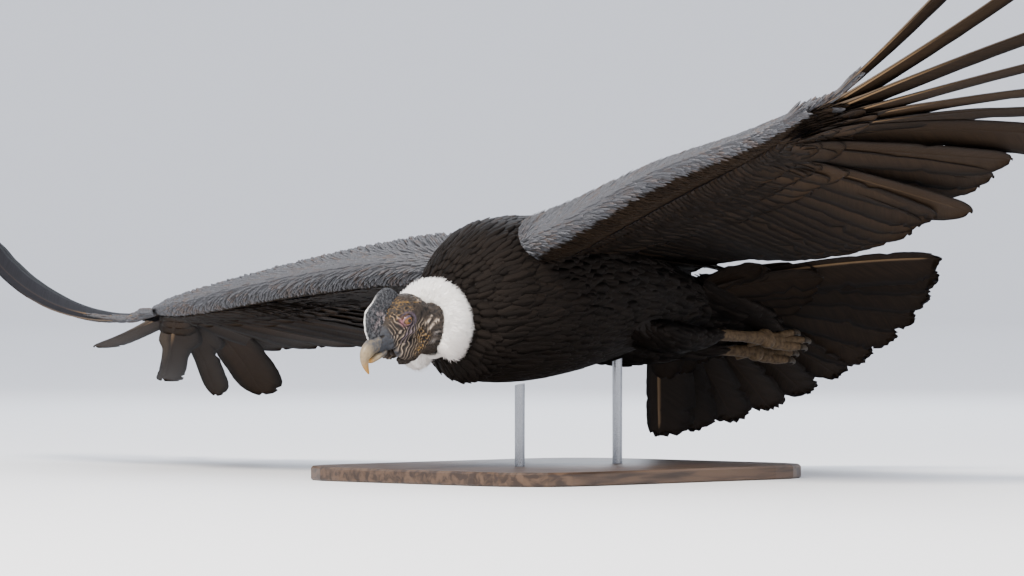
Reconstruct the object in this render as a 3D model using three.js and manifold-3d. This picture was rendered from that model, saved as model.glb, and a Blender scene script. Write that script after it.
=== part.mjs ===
// Andean condor, adult male, gliding in a gentle right bank on a display stand.
// Millimetres, +Z up. The bird flies towards -Y and its left wing is on +X.
import * as THREE from "three";
import { mergeVertices } from "three/addons/utils/BufferGeometryUtils.js";
import Module from "manifold-3d";

const wasm = await Module();
wasm.setup();

const { degToRad, lerp, clamp } = THREE.MathUtils;
const point = (x, y, z) => new THREE.Vector3(x, y, z);
const turn = 2 * Math.PI;

// Driving dimensions
const bodyHeight = 290; // the middle of the trunk above the floor
const bank = degToRad(13); // the left wing is the higher one
const pitch = degToRad(3); // nose up
const clearance = 0.35; // between nodes that touch

// Stand
const base = { length: 680, width: 560, thick: 22, corner: 130, bevel: 3 };
const rod = { x: 19, radius: 8, sides: 14, front: -105, rear: 120 };

// Trunk sections from the neck to the rump: y, middle z, half width, height above and depth below
const trunk = [
  { y: -280, z: -40, w: 50, up: 52, down: 52 },
  { y: -245, z: -30, w: 86, up: 90, down: 112 },
  { y: -190, z: -16, w: 120, up: 122, down: 134 },
  { y: -110, z: -4, w: 140, up: 130, down: 144 },
  { y: -15, z: 2, w: 138, up: 120, down: 136 },
  { y: 85, z: 6, w: 122, up: 100, down: 116 },
  { y: 175, z: 8, w: 100, up: 78, down: 92 },
  { y: 260, z: 6, w: 74, up: 54, down: 66 },
  { y: 325, z: 0, w: 48, up: 34, down: 42 },
  { y: 358, z: -4, w: 26, up: 18, down: 24 },
];
const trunkMesh = { steps: 14, around: 18, frontCap: 12, rearCap: 8 };

// Neck sections from inside the trunk to inside the head, in the bird's frame
const neck = [
  { y: -358, z: -59, w: 27, up: 27, down: 29 },
  { y: -336, z: -56, w: 33, up: 33, down: 41 },
  { y: -320, z: -52, w: 31, up: 30, down: 40 },
  { y: -302, z: -48, w: 37, up: 37, down: 45 },
  { y: -290, z: -45, w: 34, up: 34, down: 36 },
  { y: -262, z: -40, w: 42, up: 42, down: 44 },
];

// Ruff: a ring of down round the foot of the neck, a core with rows of locks that lie over it.
// It's thin in front of the throat: the place round the ring, half the arc, and the share that is left
const ruff = { x: -10, y: -285, z: -60, ring: 47, tube: 27, core: 16, yaw: degToRad(8) };
const throatGap = { at: degToRad(278), arc: degToRad(62), share: 0.25 };
const lock = { around: 11, rows: [64, 20, -24], length: 26, width: 29, thick: 4.4, curl: 46, seed: 7 };

// Head: its middle in the bird's frame, how far the bill points below level flight, and its turn
const head = { y: -370, z: -61.5, droop: degToRad(29), yaw: degToRad(3.5) };
const skull = [
  { y: -62, z: -8, w: 9.5, up: 12, down: 13 },
  { y: -50, z: -8, w: 13, up: 17, down: 16 },
  { y: -36, z: -6, w: 20, up: 23, down: 22 },
  { y: -20, z: -3, w: 28, up: 30, down: 30 },
  { y: 0, z: 0, w: 34, up: 35, down: 36 },
  { y: 22, z: 1, w: 35, up: 35, down: 38 },
  { y: 40, z: -2, w: 31, up: 30, down: 35 },
  { y: 54, z: -6, w: 23, up: 22, down: 27 },
];
const eye = { x: 26, y: -7, z: 9, radius: 9 };
const lid = { ring: 8.6, tube: 2.4 };
const nostril = { y: -50, z: 3, long: 6.5, high: 2.8 };
const ear = { y: 26, z: 0, radius: 4.5 };

// Folds of bare skin on each side of the head: points x, y, z along the fold, then its thickness
const folds = [
  { points: [[17, -33, 17], [26, -18, 20], [31, -4, 21], [33, 10, 17]], size: 4 }, // brow
  { points: [[17, -38, -9], [25, -22, -10], [31, 0, -12], [33, 20, -10]], size: 3.4 }, // cheek
  { points: [[13, -42, -19], [22, -22, -24], [28, 2, -27], [28, 24, -27]], size: 3.6 }, // jaw
];
// Bulbs of skin, at the foot of the comb and under the chin: x, y, z, radius
const combBulbs = [
  [7, -54, 8, 5.5],
  [-7, -54, 8, 5.5],
];
const chinBulbs = [
  [0, -22, -50, 5.5],
  [2, 2, -57, 6.5],
  [-2, 20, -55, 5],
];
// The line of the mouth on the head: y, z
const gape = { points: [[-60, -16], [-45, -17], [-30, -18], [-16, -17]], depth: 3, high: 1.1 };

// Comb outline in the head's frame, from the bill up over the crown: y, z
const combOutline = [
  [-62, -6],
  [-68, 6],
  [-71, 20],
  [-67, 35],
  [-55, 49],
  [-35, 54],
  [-12, 61],
  [6, 58],
  [19, 44],
  [22, 26],
  [-10, 20],
  [-45, 0],
];
const combThick = 9;

// Bill along its middle line: y, z, half width, half height
const upperBill = [
  [-58, -5, 10.5, 13],
  [-72, -4, 10, 12.5],
  [-84, -7, 8.5, 11],
  [-92, -14, 6, 8],
  [-96, -23, 3.6, 5],
  [-96.5, -32, 1.2, 1.6],
];
const lowerBill = [
  [-54, -23, 9.5, 6],
  [-68, -22.5, 8.5, 5.5],
  [-80, -21.5, 6, 4.5],
  [-88, -19, 2.5, 2],
];

// Throat lappet that hangs under the chin: y, z, half width, half height
const lappet = [
  [-34, -34, 3, 4],
  [-18, -42, 5, 7],
  [2, -47, 6, 9],
  [20, -47, 6, 8],
  [34, -42, 3, 5],
];

// Legs, trailed under the tail. Each list runs along one leg: x, y, z, half width, half height
const legs = {
  left: {
    thigh: [
      [64, 60, -58, 30, 24],
      [62, 120, -68, 42, 30],
      [58, 190, -72, 37, 28],
      [52, 250, -70, 25, 21],
      [47, 308, -60, 14, 13],
    ],
    shank: [
      [47, 303, -58, 11, 10],
      [46, 345, -58, 9.5, 9],
      [45, 390, -58, 9, 9],
      [44, 430, -58, 12, 10],
    ],
  },
  right: {
    thigh: [
      [-62, 60, -52, 30, 24],
      [-58, 120, -60, 42, 30],
      [-48, 190, -67, 37, 28],
      [-36, 250, -70, 25, 21],
      [-21, 320, -66, 14, 13],
    ],
    shank: [
      [-20, 315, -66, 11, 10],
      [-14, 360, -67, 9.5, 9],
      [-9, 415, -68, 9, 9],
      [-4, 452, -68, 12, 10],
    ],
  },
};
const toes = [
  { side: -0.17, length: 84, thick: 9.5 },
  { side: 0, length: 104, thick: 10.5 },
  { side: 0.17, length: 88, thick: 9.5 },
];
const hindToe = { length: 38, thick: 6.5 };
const footRoll = degToRad(75); // the toes trail with their soles turned in

// Tail: a fan of feathers, twisted with its left side up. Angles of the fan are in degrees
const tail = { y: 304, z: 10, droop: degToRad(16), twist: degToRad(15), yaw: degToRad(1.5) };
const fan = {
  feathers: 12,
  spread: 45,
  root: 60,
  crown: 17,
  length: 410,
  graded: 0.08,
  width: 84,
  bend: [6, -7],
  roll: 8,
  covert: 150,
};
const rump = [
  { y: -10, z: -2, w: 66, up: 26, down: 34 },
  { y: 40, z: -2, w: 66, up: 21, down: 27 },
  { y: 90, z: -2, w: 58, up: 14, down: 18 },
  { y: 130, z: -2, w: 36, up: 7, down: 9 },
];

// Wing plan from the shoulder (0) to the end of the hand (1): depth and thickness of the fleshy core
const wristAt = 0.81;
const wingCore = [
  { u: 0, deep: 235, thick: 76 },
  { u: 0.25, deep: 250, thick: 60 },
  { u: 0.55, deep: 225, thick: 42 },
  { u: 0.81, deep: 165, thick: 29 },
  { u: 0.92, deep: 115, thick: 20 },
  { u: 1, deep: 70, thick: 12 },
];
// Core section from the leading edge back: share of the depth, share of the thickness
const coreSection = [
  [0, 0],
  [0.035, 0.3],
  [0.14, 0.5],
  [0.4, 0.47],
  [0.75, 0.27],
  [1, 0.14],
  [1, -0.1],
  [0.75, -0.22],
  [0.4, -0.4],
  [0.14, -0.42],
  [0.035, -0.26],
];

// Inner flight feathers by their place on the wing. Headings run from straight out (0) to
// straight back (90), in degrees
const inner = { count: 13, from: 0.04, to: 0.8 };
const innerPlan = [
  { u: 0.04, heading: 97, length: 345, width: 80 },
  { u: 0.12, heading: 97, length: 372, width: 82 },
  { u: 0.3, heading: 96, length: 391, width: 84 },
  { u: 0.55, heading: 95, length: 383, width: 88 },
  { u: 0.74, heading: 93, length: 394, width: 88 },
  { u: 0.8, heading: 89, length: 400, width: 88 },
];
// Outer flight feathers, from the wrist to the wing tip: length, width, and where the long ones narrow
const outerPlan = [
  { length: 457, width: 80 },
  { length: 451, width: 80 },
  { length: 446, width: 84 },
  { length: 552, width: 92 },
  { length: 618, width: 82, notch: 0.5 },
  { length: 660, width: 82, notch: 0.3 },
  { length: 680, width: 78, notch: 0.16 },
  { length: 676, width: 78, notch: 0.1 },
  { length: 636, width: 76, notch: 0.08 },
  { length: 556, width: 70, slim: true },
];
// Tiers of coverts: where they leave the core as a share of its depth, how far above or below the
// flight feather they lie in millimetres, and their length and width as shares of that feather's
const tiers = {
  greatUpper: { at: 0.5, lift: 5.5, share: 0.44, width: 0.84 },
  middleUpper: { at: 0.36, lift: 11, share: 0.32, width: 0.84 },
  greatUnder: { at: 0.54, lift: -5.5, share: 0.36, width: 0.84 },
};

// Each wing in the bird's frame: its leading edge from the shoulder to the end of the hand, the slope
// of its chord in degrees, the inner feathers' roll, and the outer feathers' headings, rise at the
// root and the tip, and roll
const wings = {
  left: {
    side: 1,
    edge: [
      [50, -150, 50],
      [110, -182, 52],
      [230, -212, 58],
      [440, -240, 79],
      [650, -262, 79],
      [742, -243, 93],
    ],
    slope: [
      { u: 0, rise: 3 },
      { u: 0.09, rise: 2 },
      { u: 0.28, rise: -0.1 },
      { u: 0.44, rise: -4.9 },
      { u: 0.57, rise: -8.2 },
      { u: 0.72, rise: -9.3 },
      { u: 0.81, rise: -7.9 },
      { u: 1, rise: -2 },
    ],
    roll: 8,
    outer: [
      [85.5, -4.5, -4.5, 12],
      [82.5, -4, -4, 14],
      [77.5, -2.5, -2.5, 16],
      [71, 5, -9, 16],
      [61, 6, -7, 4],
      [52, 7, -5, 3],
      [39.5, 8, 4, 5],
      [28, 13, 4, 10],
      [18, 18, 25, 6],
      [8, 26, 34, 0],
    ],
  },
  right: {
    side: -1,
    edge: [
      [50, -150, 54],
      [110, -182, 74],
      [230, -212, 94],
      [440, -240, 110],
      [636, -238, 121],
      [752, -168, 142],
    ],
    slope: [
      { u: 0, rise: -2 },
      { u: 0.3, rise: -4 },
      { u: 0.55, rise: -4 },
      { u: 0.8, rise: -4 },
      { u: 1, rise: -1 },
    ],
    roll: 4,
    outer: [
      [79, -5, 1, 2],
      [71, -2, 0, 2],
      [64, -2, 2, 2],
      [56.5, 5, -20, 8],
      [48, 3, -11, 12],
      [40.5, -4, 8, 12],
      [31.5, 6.7, 8, 10],
      [17, 6.5, 40, -6],
      [8.5, 7, 54, -18],
      [0, 5.5, 64, -30],
    ],
  },
};
const sag = -3; // how much the inner flight feathers bend down from root to tip

// A closed body through rings of points: each ring holds the same number of points
function loftGeometry(rings, startPoint = middle(rings[0]), endPoint = middle(rings.at(-1))) {
  const count = rings[0].length;
  const vertices = rings.flat();
  const index = [];
  rings.slice(1).forEach((_, r) => {
    for (let i = 0; i < count; i++) {
      const a = r * count + i;
      const b = r * count + ((i + 1) % count);
      index.push(a, b, b + count, a, b + count, a + count);
    }
  });
  const last = (rings.length - 1) * count;
  const start = vertices.push(startPoint) - 1;
  const end = vertices.push(endPoint) - 1;
  for (let i = 0; i < count; i++) {
    const next = (i + 1) % count;
    index.push(start, next, i, end, last + i, last + next);
  }
  const geometry = new THREE.BufferGeometry().setFromPoints(vertices);
  geometry.setIndex(index);
  return geometry;
}

function middle(ring) {
  return ring.reduce((sum, p) => sum.add(p), point(0, 0, 0)).divideScalar(ring.length);
}

// A closed mesh as a solid that can be joined and cut, its faces turned outwards
function solid(geometry, matrix = new THREE.Matrix4()) {
  const bare = geometry.clone().applyMatrix4(matrix);
  bare.deleteAttribute("normal");
  bare.deleteAttribute("uv");
  const merged = mergeVertices(bare, 1e-3);
  const vertProperties = new Float32Array(merged.attributes.position.array);
  const triVerts = new Uint32Array(merged.index.array);
  const made = new wasm.Manifold(new wasm.Mesh({ numProp: 3, vertProperties, triVerts }));
  if (made.volume() > 0) return made;
  triVerts.reverse();
  return new wasm.Manifold(new wasm.Mesh({ numProp: 3, vertProperties, triVerts }));
}

const joined = (solids) => solids.reduce((whole, piece) => whole.add(piece));
const cutBy = (whole, cutters) => cutters.reduce((rest, cutter) => rest.subtract(cutter), whole);

// The largest closed surface of a solid
function largest(whole) {
  const size = (piece) => Math.abs(piece.volume());
  return whole.decompose().reduce((best, piece) => (size(piece) > size(best) ? piece : best));
}

function meshOf(name, whole, material) {
  const { vertProperties, triVerts } = largest(whole).getMesh();
  const geometry = new THREE.BufferGeometry();
  geometry.setAttribute("position", new THREE.BufferAttribute(vertProperties, 3));
  geometry.setIndex(new THREE.BufferAttribute(triVerts, 1));
  geometry.computeVertexNormals();
  const mesh = new THREE.Mesh(geometry, material);
  mesh.name = name;
  return mesh;
}

// The value of a field at a place along a list of sections, on a smooth curve
function along(sections, key, at, field) {
  const last = sections.length - 1;
  const place = clamp(at, sections[0][key], sections[last][key]);
  let i = 0;
  while (i < last - 1 && place > sections[i + 1][key]) i++;
  const slope = (k) => {
    const a = sections[Math.max(k - 1, 0)];
    const b = sections[Math.min(k + 1, last)];
    return (b[field] - a[field]) / (b[key] - a[key]);
  };
  const span = sections[i + 1][key] - sections[i][key];
  const t = (place - sections[i][key]) / span;
  const t2 = t * t;
  const t3 = t2 * t;
  return (
    (2 * t3 - 3 * t2 + 1) * sections[i][field] +
    (t3 - 2 * t2 + t) * span * slope(i) +
    (3 * t2 - 2 * t3) * sections[i + 1][field] +
    (t3 - t2) * span * slope(i + 1)
  );
}

// A rounded body along y through a list of sections, grown outwards where it cuts a neighbour clear
function bodyGeometry(sections, { steps, around, frontCap = 6, rearCap = 6 }, grown = 0) {
  const first = sections[0].y;
  const last = sections.at(-1).y;
  const rings = Array.from({ length: steps + 1 }, (_, i) => {
    const y = lerp(first, last, i / steps);
    const at = (field) => along(sections, "y", y, field);
    return Array.from({ length: around }, (_, k) => {
      const a = (k / around) * turn;
      const height = Math.sin(a);
      const reach = at(height > 0 ? "up" : "down") + grown;
      return point((at("w") + grown) * Math.cos(a), y, at("z") + height * reach);
    });
  });
  const front = point(0, first - frontCap - grown, sections[0].z);
  const rear = point(0, last + rearCap + grown, sections.at(-1).z);
  return loftGeometry(rings, front, rear);
}

// A limb along a list of [x, y, z, half width, half height], smooth between them
function limbGeometry(list, { steps, around, cap = 2 }, grown = 0) {
  const curve = new THREE.CatmullRomCurve3(list.map(([x, y, z]) => point(x, y, z)));
  const size = (t, k) => {
    const place = clamp(t, 0, 1) * (list.length - 1);
    const i = Math.min(Math.floor(place), list.length - 2);
    return lerp(list[i][k], list[i + 1][k], place - i) + grown;
  };
  const rings = Array.from({ length: steps + 1 }, (_, i) => {
    const t = i / steps;
    const along = curve.getTangent(t);
    const side = point(1, 0, 0).addScaledVector(along, -along.x).normalize();
    const up = along.clone().cross(side);
    return Array.from({ length: around }, (_, k) => {
      const a = (k / around) * turn;
      return curve
        .getPoint(t)
        .addScaledVector(side, size(t, 3) * Math.cos(a))
        .addScaledVector(up, size(t, 4) * Math.sin(a));
    });
  });
  const start = curve.getPoint(0).addScaledVector(curve.getTangent(0), -cap - grown);
  const end = curve.getPoint(1).addScaledVector(curve.getTangent(1), cap + grown);
  return loftGeometry(rings, start, end);
}

const standard = (color, roughness, metalness = 0) =>
  new THREE.MeshStandardMaterial({ color, roughness, metalness });
const materials = {
  plumage: standard(0x1d1a1a, 0.8),
  flight: standard(0x2a211b, 0.6),
  down: standard(0xf2eeea, 0.95),
  skin: standard(0x5c4a3e, 0.6),
  comb: standard(0x3a3a40, 0.55),
  horn: standard(0xd9c9a0, 0.35),
  iris: standard(0x8a4a12, 0.1),
  scales: standard(0x8d7458, 0.7),
  wood: standard(0x3b2a1e, 0.5),
  steel: standard(0x9a9da1, 0.3, 1),
};

const birdFrame = new THREE.Matrix4()
  .makeTranslation(0, 0, bodyHeight)
  .multiply(new THREE.Matrix4().makeRotationX(-pitch))
  .multiply(new THREE.Matrix4().makeRotationY(-bank));

// The head keeps level across while the body banks
const headFrame = new THREE.Matrix4()
  .setPosition(point(0, head.y, head.z).applyMatrix4(birdFrame))
  .multiply(new THREE.Matrix4().makeRotationZ(head.yaw))
  .multiply(new THREE.Matrix4().makeRotationX(head.droop));

const tailFrame = birdFrame
  .clone()
  .multiply(new THREE.Matrix4().makeTranslation(0, tail.y, tail.z))
  .multiply(new THREE.Matrix4().makeRotationZ(-tail.yaw))
  .multiply(new THREE.Matrix4().makeRotationX(-tail.droop))
  .multiply(new THREE.Matrix4().makeRotationY(-tail.twist));

const trunkSolid = (grown) => solid(bodyGeometry(trunk, trunkMesh, grown), birdFrame);
const neckSolid = (grown) => solid(bodyGeometry(neck, { steps: 10, around: 14 }, grown), birdFrame);

function skullSolid(grown = 0) {
  const skullShape = { steps: 9, around: 12, frontCap: 3, rearCap: 10 };
  return solid(bodyGeometry(skull, skullShape, grown), headFrame);
}

function headFolds() {
  return [1, -1].flatMap((side) =>
    folds.map(({ points, size }) => {
      const list = points.map(([x, y, z], i) => {
        const end = i === 0 || i === points.length - 1;
        const thick = end ? size * 0.5 : size;
        return [side * x, y, z, thick, thick];
      });
      return solid(limbGeometry(list, { steps: 3, around: 4 }), headFrame);
    }),
  );
}

function bulbSolid([x, y, z, radius]) {
  return solid(new THREE.SphereGeometry(radius, 7, 4).translate(x, y, z), headFrame);
}

// Nostrils, ear openings and the line of the mouth, to be cut into the head
function headCuts() {
  return [1, -1].flatMap((side) => {
    const hole = new THREE.SphereGeometry(1, 6, 4).scale(5, nostril.long, nostril.high);
    hole.translate(side * 15, nostril.y, nostril.z);
    const cavity = new THREE.SphereGeometry(ear.radius, 6, 4).translate(side * 37, ear.y, ear.z);
    const line = gape.points.map(([y, z]) => {
      const reach = along(skull, "y", y, "w") + 1;
      return [side * reach, y, z, gape.depth, gape.high];
    });
    const mouth = limbGeometry(line, { steps: 3, around: 4 });
    return [hole, cavity, mouth].map((shape) => solid(shape, headFrame));
  });
}

function eyeSolid(side, grown = 0) {
  const ball = new THREE.SphereGeometry(eye.radius + grown, 9, 6);
  ball.translate(side * eye.x, eye.y, eye.z);
  return solid(ball, headFrame);
}

function lidSolid(side) {
  const ring = new THREE.TorusGeometry(lid.ring, lid.tube, 4, 10);
  ring.rotateY(Math.PI / 2);
  ring.rotateZ(side * degToRad(-14));
  ring.translate(side * (eye.x + 5.2), eye.y - 1, eye.z);
  return solid(ring, headFrame);
}

function combSolid() {
  const shape = new THREE.Shape();
  const [first, ...rest] = combOutline.map(([y, z]) => new THREE.Vector2(y, z));
  shape.moveTo(first.x, first.y);
  shape.splineThru([...rest, first]);
  const settings = { bevelThickness: 2.2, bevelSize: 2.2, bevelOffset: -2.2, bevelSegments: 1 };
  const depth = combThick - 2 * settings.bevelThickness;
  const plate = new THREE.ExtrudeGeometry(shape, { depth, curveSegments: 2, ...settings });
  plate.translate(0, 0, -depth / 2);
  // The plate is drawn in x and y: turn it so that its x runs along y and its y runs up
  const turned = new THREE.Matrix4().makeBasis(point(0, 1, 0), point(0, 0, 1), point(1, 0, 0));
  return solid(plate.applyMatrix4(turned), headFrame);
}

const inPlane = (list) => list.map(([y, z, w, h]) => [0, y, z, w, h]);

const headLimb = (list, shape, grown) =>
  solid(limbGeometry(inPlane(list), shape, grown), headFrame);

const ruffFrame = birdFrame
  .clone()
  .multiply(new THREE.Matrix4().makeTranslation(ruff.x, ruff.y, ruff.z))
  .multiply(new THREE.Matrix4().makeRotationZ(ruff.yaw))
  .multiply(new THREE.Matrix4().makeRotationX(Math.PI / 2));

function ruffRing(tube, segments) {
  return solid(new THREE.TorusGeometry(ruff.ring, tube, ...segments), ruffFrame);
}

// Even random numbers from 0 to 1 that are the same on every run
function randomFrom(seed) {
  let state = seed;
  return () => {
    state = (state * 16807) % 2147483647;
    return state / 2147483647;
  };
}

// One lock of the ruff: a flat blade that leaves the core at an angle round its tube and curls over
function lockSolid(around, row, random) {
  const out = point(Math.cos(around), Math.sin(around), 0);
  const side = point(-Math.sin(around), Math.cos(around), 0);
  const front = point(0, 0, 1);
  const start = degToRad(row + 6 * (random() - 0.5));
  const fromThroat = Math.abs(around - throatGap.at) / throatGap.arc;
  const full = lerp(throatGap.share, 1, THREE.MathUtils.smoothstep(fromThroat, 0.35, 1));
  const length = lock.length * full * (0.9 + 0.2 * random());
  const spot = out.clone().multiplyScalar(ruff.ring);
  spot.addScaledVector(out, 5 * Math.cos(start)).addScaledVector(front, 5 * Math.sin(start));
  const rings = [
    [0, 0.55, 1],
    [0.38, 1, 0.9],
    [0.75, 0.72, 0.55],
  ].map(([t, wide, deep]) => {
    const angle = start - degToRad(lock.curl) * t;
    const along = out.clone().multiplyScalar(Math.cos(angle)).addScaledVector(front, Math.sin(angle));
    const up = out.clone().multiplyScalar(-Math.sin(angle)).addScaledVector(front, Math.cos(angle));
    const p = spot.clone().addScaledVector(along, length * t);
    return [
      p.clone().addScaledVector(side, (wide * lock.width) / 2),
      p.clone().addScaledVector(up, (deep * lock.thick) / 2),
      p.clone().addScaledVector(side, (-wide * lock.width) / 2),
      p.clone().addScaledVector(up, (-deep * lock.thick) / 2),
    ];
  });
  const last = start - degToRad(lock.curl);
  const tip = spot.clone().addScaledVector(out, length * Math.cos(last));
  tip.addScaledVector(front, length * Math.sin(last));
  return solid(loftGeometry(rings, middle(rings[0]), tip), ruffFrame);
}

function ruffSolid() {
  const random = randomFrom(lock.seed);
  const locks = lock.rows.flatMap((row, r) =>
    Array.from({ length: lock.around }, (_, i) =>
      lockSolid(((i + (r % 2) / 2) / lock.around) * turn, row, random),
    ),
  );
  return joined([ruffRing(ruff.core, [6, 16]), ...locks]);
}

const legPart = (list, shape, grown = 0) => solid(limbGeometry(list, shape, grown), birdFrame);

// Foot: a pad at the end of the shank, three toes behind it, a hind toe, and their claws
function footSolid(shankList) {
  const [x, y, z] = shankList.at(-1);
  const rolled = birdFrame
    .clone()
    .multiply(new THREE.Matrix4().makeTranslation(x, y, z))
    .multiply(new THREE.Matrix4().makeRotationY(footRoll))
    .multiply(new THREE.Matrix4().makeTranslation(-x, -y, -z));
  const footPart = (list, shape) => solid(limbGeometry(list, shape), rolled);
  const pieces = toes.map(({ side: splay, length, thick }) => {
    const list = [0, 0.3, 0.6, 0.85, 1].map((t) => [
      x + splay * length * t,
      y + length * t,
      z - 8 * Math.sin(Math.PI * t) + 4 * t,
      thick * (1 - 0.35 * t),
      thick * (1 - 0.35 * t),
    ]);
    const tip = list.at(-1);
    const claw = [0, 0.4, 0.75, 1].map((t) => [
      tip[0],
      tip[1] - 6 + 28 * Math.sin(t * 1.5),
      tip[2] - 15 * t * t + 1,
      4.6 * (1 - 0.85 * t),
      5 * (1 - 0.85 * t),
    ]);
    return footPart(list, { steps: 3, around: 6 }).add(footPart(claw, { steps: 2, around: 4 }));
  });
  const hind = [0, 0.5, 1].map((t) => [
    x,
    y + 6 - hindToe.length * 0.4 * t,
    z - 6 - hindToe.length * 0.5 * t,
    hindToe.thick * (1 - 0.5 * t),
    hindToe.thick * (1 - 0.5 * t),
  ]);
  const pad = new THREE.SphereGeometry(15, 8, 4).scale(1.1, 1.2, 0.75);
  pad.translate(x, y + 10, z);
  pieces.push(footPart(hind, { steps: 2, around: 6 }), solid(pad, rolled));
  return joined(pieces);
}

// Shares of a feather's width along its length
const broadVane = [
  [0, 0.22],
  [0.28, 0.84],
  [0.86, 0.95],
  [0.97, 0.5],
];
const slottedVane = (notch) => [
  [0, 0.3],
  [notch - 0.02, 0.92],
  [notch + 0.07, 0.62],
  [lerp(notch + 0.07, 0.88, 0.35), 0.6],
  [lerp(notch + 0.07, 0.88, 0.7), 0.58],
  [0.88, 0.56],
  [0.97, 0.3],
];
const slimVane = [
  [0, 0.2],
  [0.1, 0.25],
  [0.3, 0.48],
  [0.5, 0.62],
  [0.7, 0.6],
  [0.88, 0.56],
  [0.97, 0.3],
];
const covertVane = [
  [0, 0.5],
  [0.45, 1],
  [0.88, 0.7],
];

// One flight feather or covert: a thin closed blade along a line that bends as it runs out. Its
// front edge is rolled up, so that it passes under the feather on its inner side
function vaneSolid(vane, frame, grown = 0) {
  const { root, heading, rise, length, width, thick = 2.8, outline = broadVane } = vane;
  const { side, roll, front = 0.38 } = vane;
  const steps = 24;
  const direction = (t) => {
    const e = degToRad(lerp(rise[0], rise[1], t ** 1.3));
    const h = degToRad(heading);
    return point(side * Math.cos(h) * Math.cos(e), Math.sin(h) * Math.cos(e), Math.sin(e));
  };
  const line = [root.clone()];
  for (let i = 0; i < steps; i++) {
    line.push(line[i].clone().addScaledVector(direction((i + 0.5) / steps), length / steps));
  }
  const at = (t) => {
    const i = Math.min(Math.floor(t * steps), steps - 1);
    return line[i].clone().lerp(line[i + 1], t * steps - i);
  };
  const rings = outline.map(([t, share]) => {
    const along = direction(t);
    const across = point(along.y, -along.x, 0).multiplyScalar(side).normalize();
    const up = across.clone().cross(along).multiplyScalar(side);
    const tilt = degToRad(roll);
    const lead = across.clone().multiplyScalar(Math.cos(tilt)).addScaledVector(up, Math.sin(tilt));
    const high = up.clone().multiplyScalar(Math.cos(tilt)).addScaledVector(across, -Math.sin(tilt));
    const half = (thick * lerp(1, 0.55, t)) / 2 + 2 * grown;
    const p = at(t);
    const wide = share * width;
    return [
      p.clone().addScaledVector(lead, wide * front + 4 * grown),
      p.clone().addScaledVector(high, half),
      p.clone().addScaledVector(lead, -wide * (1 - front) - 4 * grown),
      p.clone().addScaledVector(high, -half),
    ];
  });
  return solid(loftGeometry(rings, at(0), at(1)), frame);
}

// A fan of twelve tail feathers. Every third one carries a short covert over its root, and those
// near the middle carry one below too
function tailFeathers() {
  const pieces = [];
  for (let i = 0; i < fan.feathers; i++) {
    const across = (2 * i) / (fan.feathers - 1) - 1;
    const side = across > 0 ? 1 : -1;
    const swing = fan.spread * Math.abs(across);
    const root = point(fan.root * across, 0, (1 - Math.abs(across)) * fan.crown);
    const feather = {
      root,
      heading: 90 - swing,
      rise: fan.bend,
      length: fan.length * (1 - fan.graded * across * across),
      width: fan.width,
      side,
      roll: fan.roll,
      front: 0.45,
    };
    pieces.push(vaneSolid(feather, tailFrame));
    if (i % 3 !== 1) continue;
    const covert = { ...feather, length: fan.covert, outline: covertVane, thick: 2.4 };
    for (const height of Math.abs(across) < 0.4 ? [8, -8] : [8]) {
      const covertRoot = root.clone().add(point(0, 18, height));
      pieces.push(vaneSolid({ ...covert, root: covertRoot }, tailFrame));
    }
  }
  return pieces;
}

const rumpSolid = (grown = 0) =>
  solid(bodyGeometry(rump, { steps: 6, around: 16 }, grown), tailFrame);

// One wing's places and directions: a point on its leading edge, the way its chord runs, and its up
function wingFrame({ side, edge, slope }) {
  const curve = new THREE.CatmullRomCurve3(edge.map(([x, y, z]) => point(side * x, y, z)));
  return (u) => {
    const heading = degToRad(u < wristAt ? 95 : lerp(95, 62, (u - wristAt) / (1 - wristAt)));
    const rise = degToRad(along(slope, "u", u, "rise"));
    const flat = Math.cos(rise);
    const back = point(side * Math.cos(heading) * flat, Math.sin(heading) * flat, Math.sin(rise));
    const out = curve.getTangentAt(u);
    const up = out.clone().cross(back).normalize().multiplyScalar(side);
    return { lead: curve.getPointAt(u), back, up, rise: along(slope, "u", u, "rise") };
  };
}

// A point in the wing's core, by its share of the depth and of the thickness
const coreAt = (frameAt, u, share, height) => {
  const { lead, back, up } = frameAt(u);
  const deep = along(wingCore, "u", u, "deep");
  const thick = along(wingCore, "u", u, "thick");
  return lead.clone().addScaledVector(back, share * deep).addScaledVector(up, height * thick);
};

function wingCoreSolid(frameAt, stations, grown = 0) {
  const rings = stations.map((u) => {
    const { lead, back, up } = frameAt(u);
    const deep = along(wingCore, "u", u, "deep");
    const thick = along(wingCore, "u", u, "thick");
    return coreSection.map(([c, t]) =>
      lead
        .clone()
        .addScaledVector(back, c * deep + Math.sign(c - 0.5) * grown)
        .addScaledVector(up, t * thick + Math.sign(t) * 1.2 * grown),
    );
  });
  return solid(loftGeometry(rings), birdFrame);
}

// The feathers of the arm, in one list per feather: the flight feather, then its coverts
function armFeathers(pose, frameAt) {
  return Array.from({ length: inner.count }, (_, i) => {
    const u = lerp(inner.from, inner.to, i / (inner.count - 1));
    const plan = (field) => along(innerPlan, "u", u, field);
    const { rise } = frameAt(u);
    const feather = {
      root: coreAt(frameAt, u, 0.58, 0.02),
      heading: plan("heading"),
      rise: [rise, rise + sag],
      length: plan("length") * (1 + 0.012 * Math.sin(i * 2.4)),
      width: plan("width"),
      side: pose.side,
      roll: pose.roll,
    };
    const names = i % 2 ? ["greatUpper", "middleUpper"] : ["greatUpper", "greatUnder"];
    return [feather, ...coverts(feather, names, frameAt, u)];
  });
}

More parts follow.
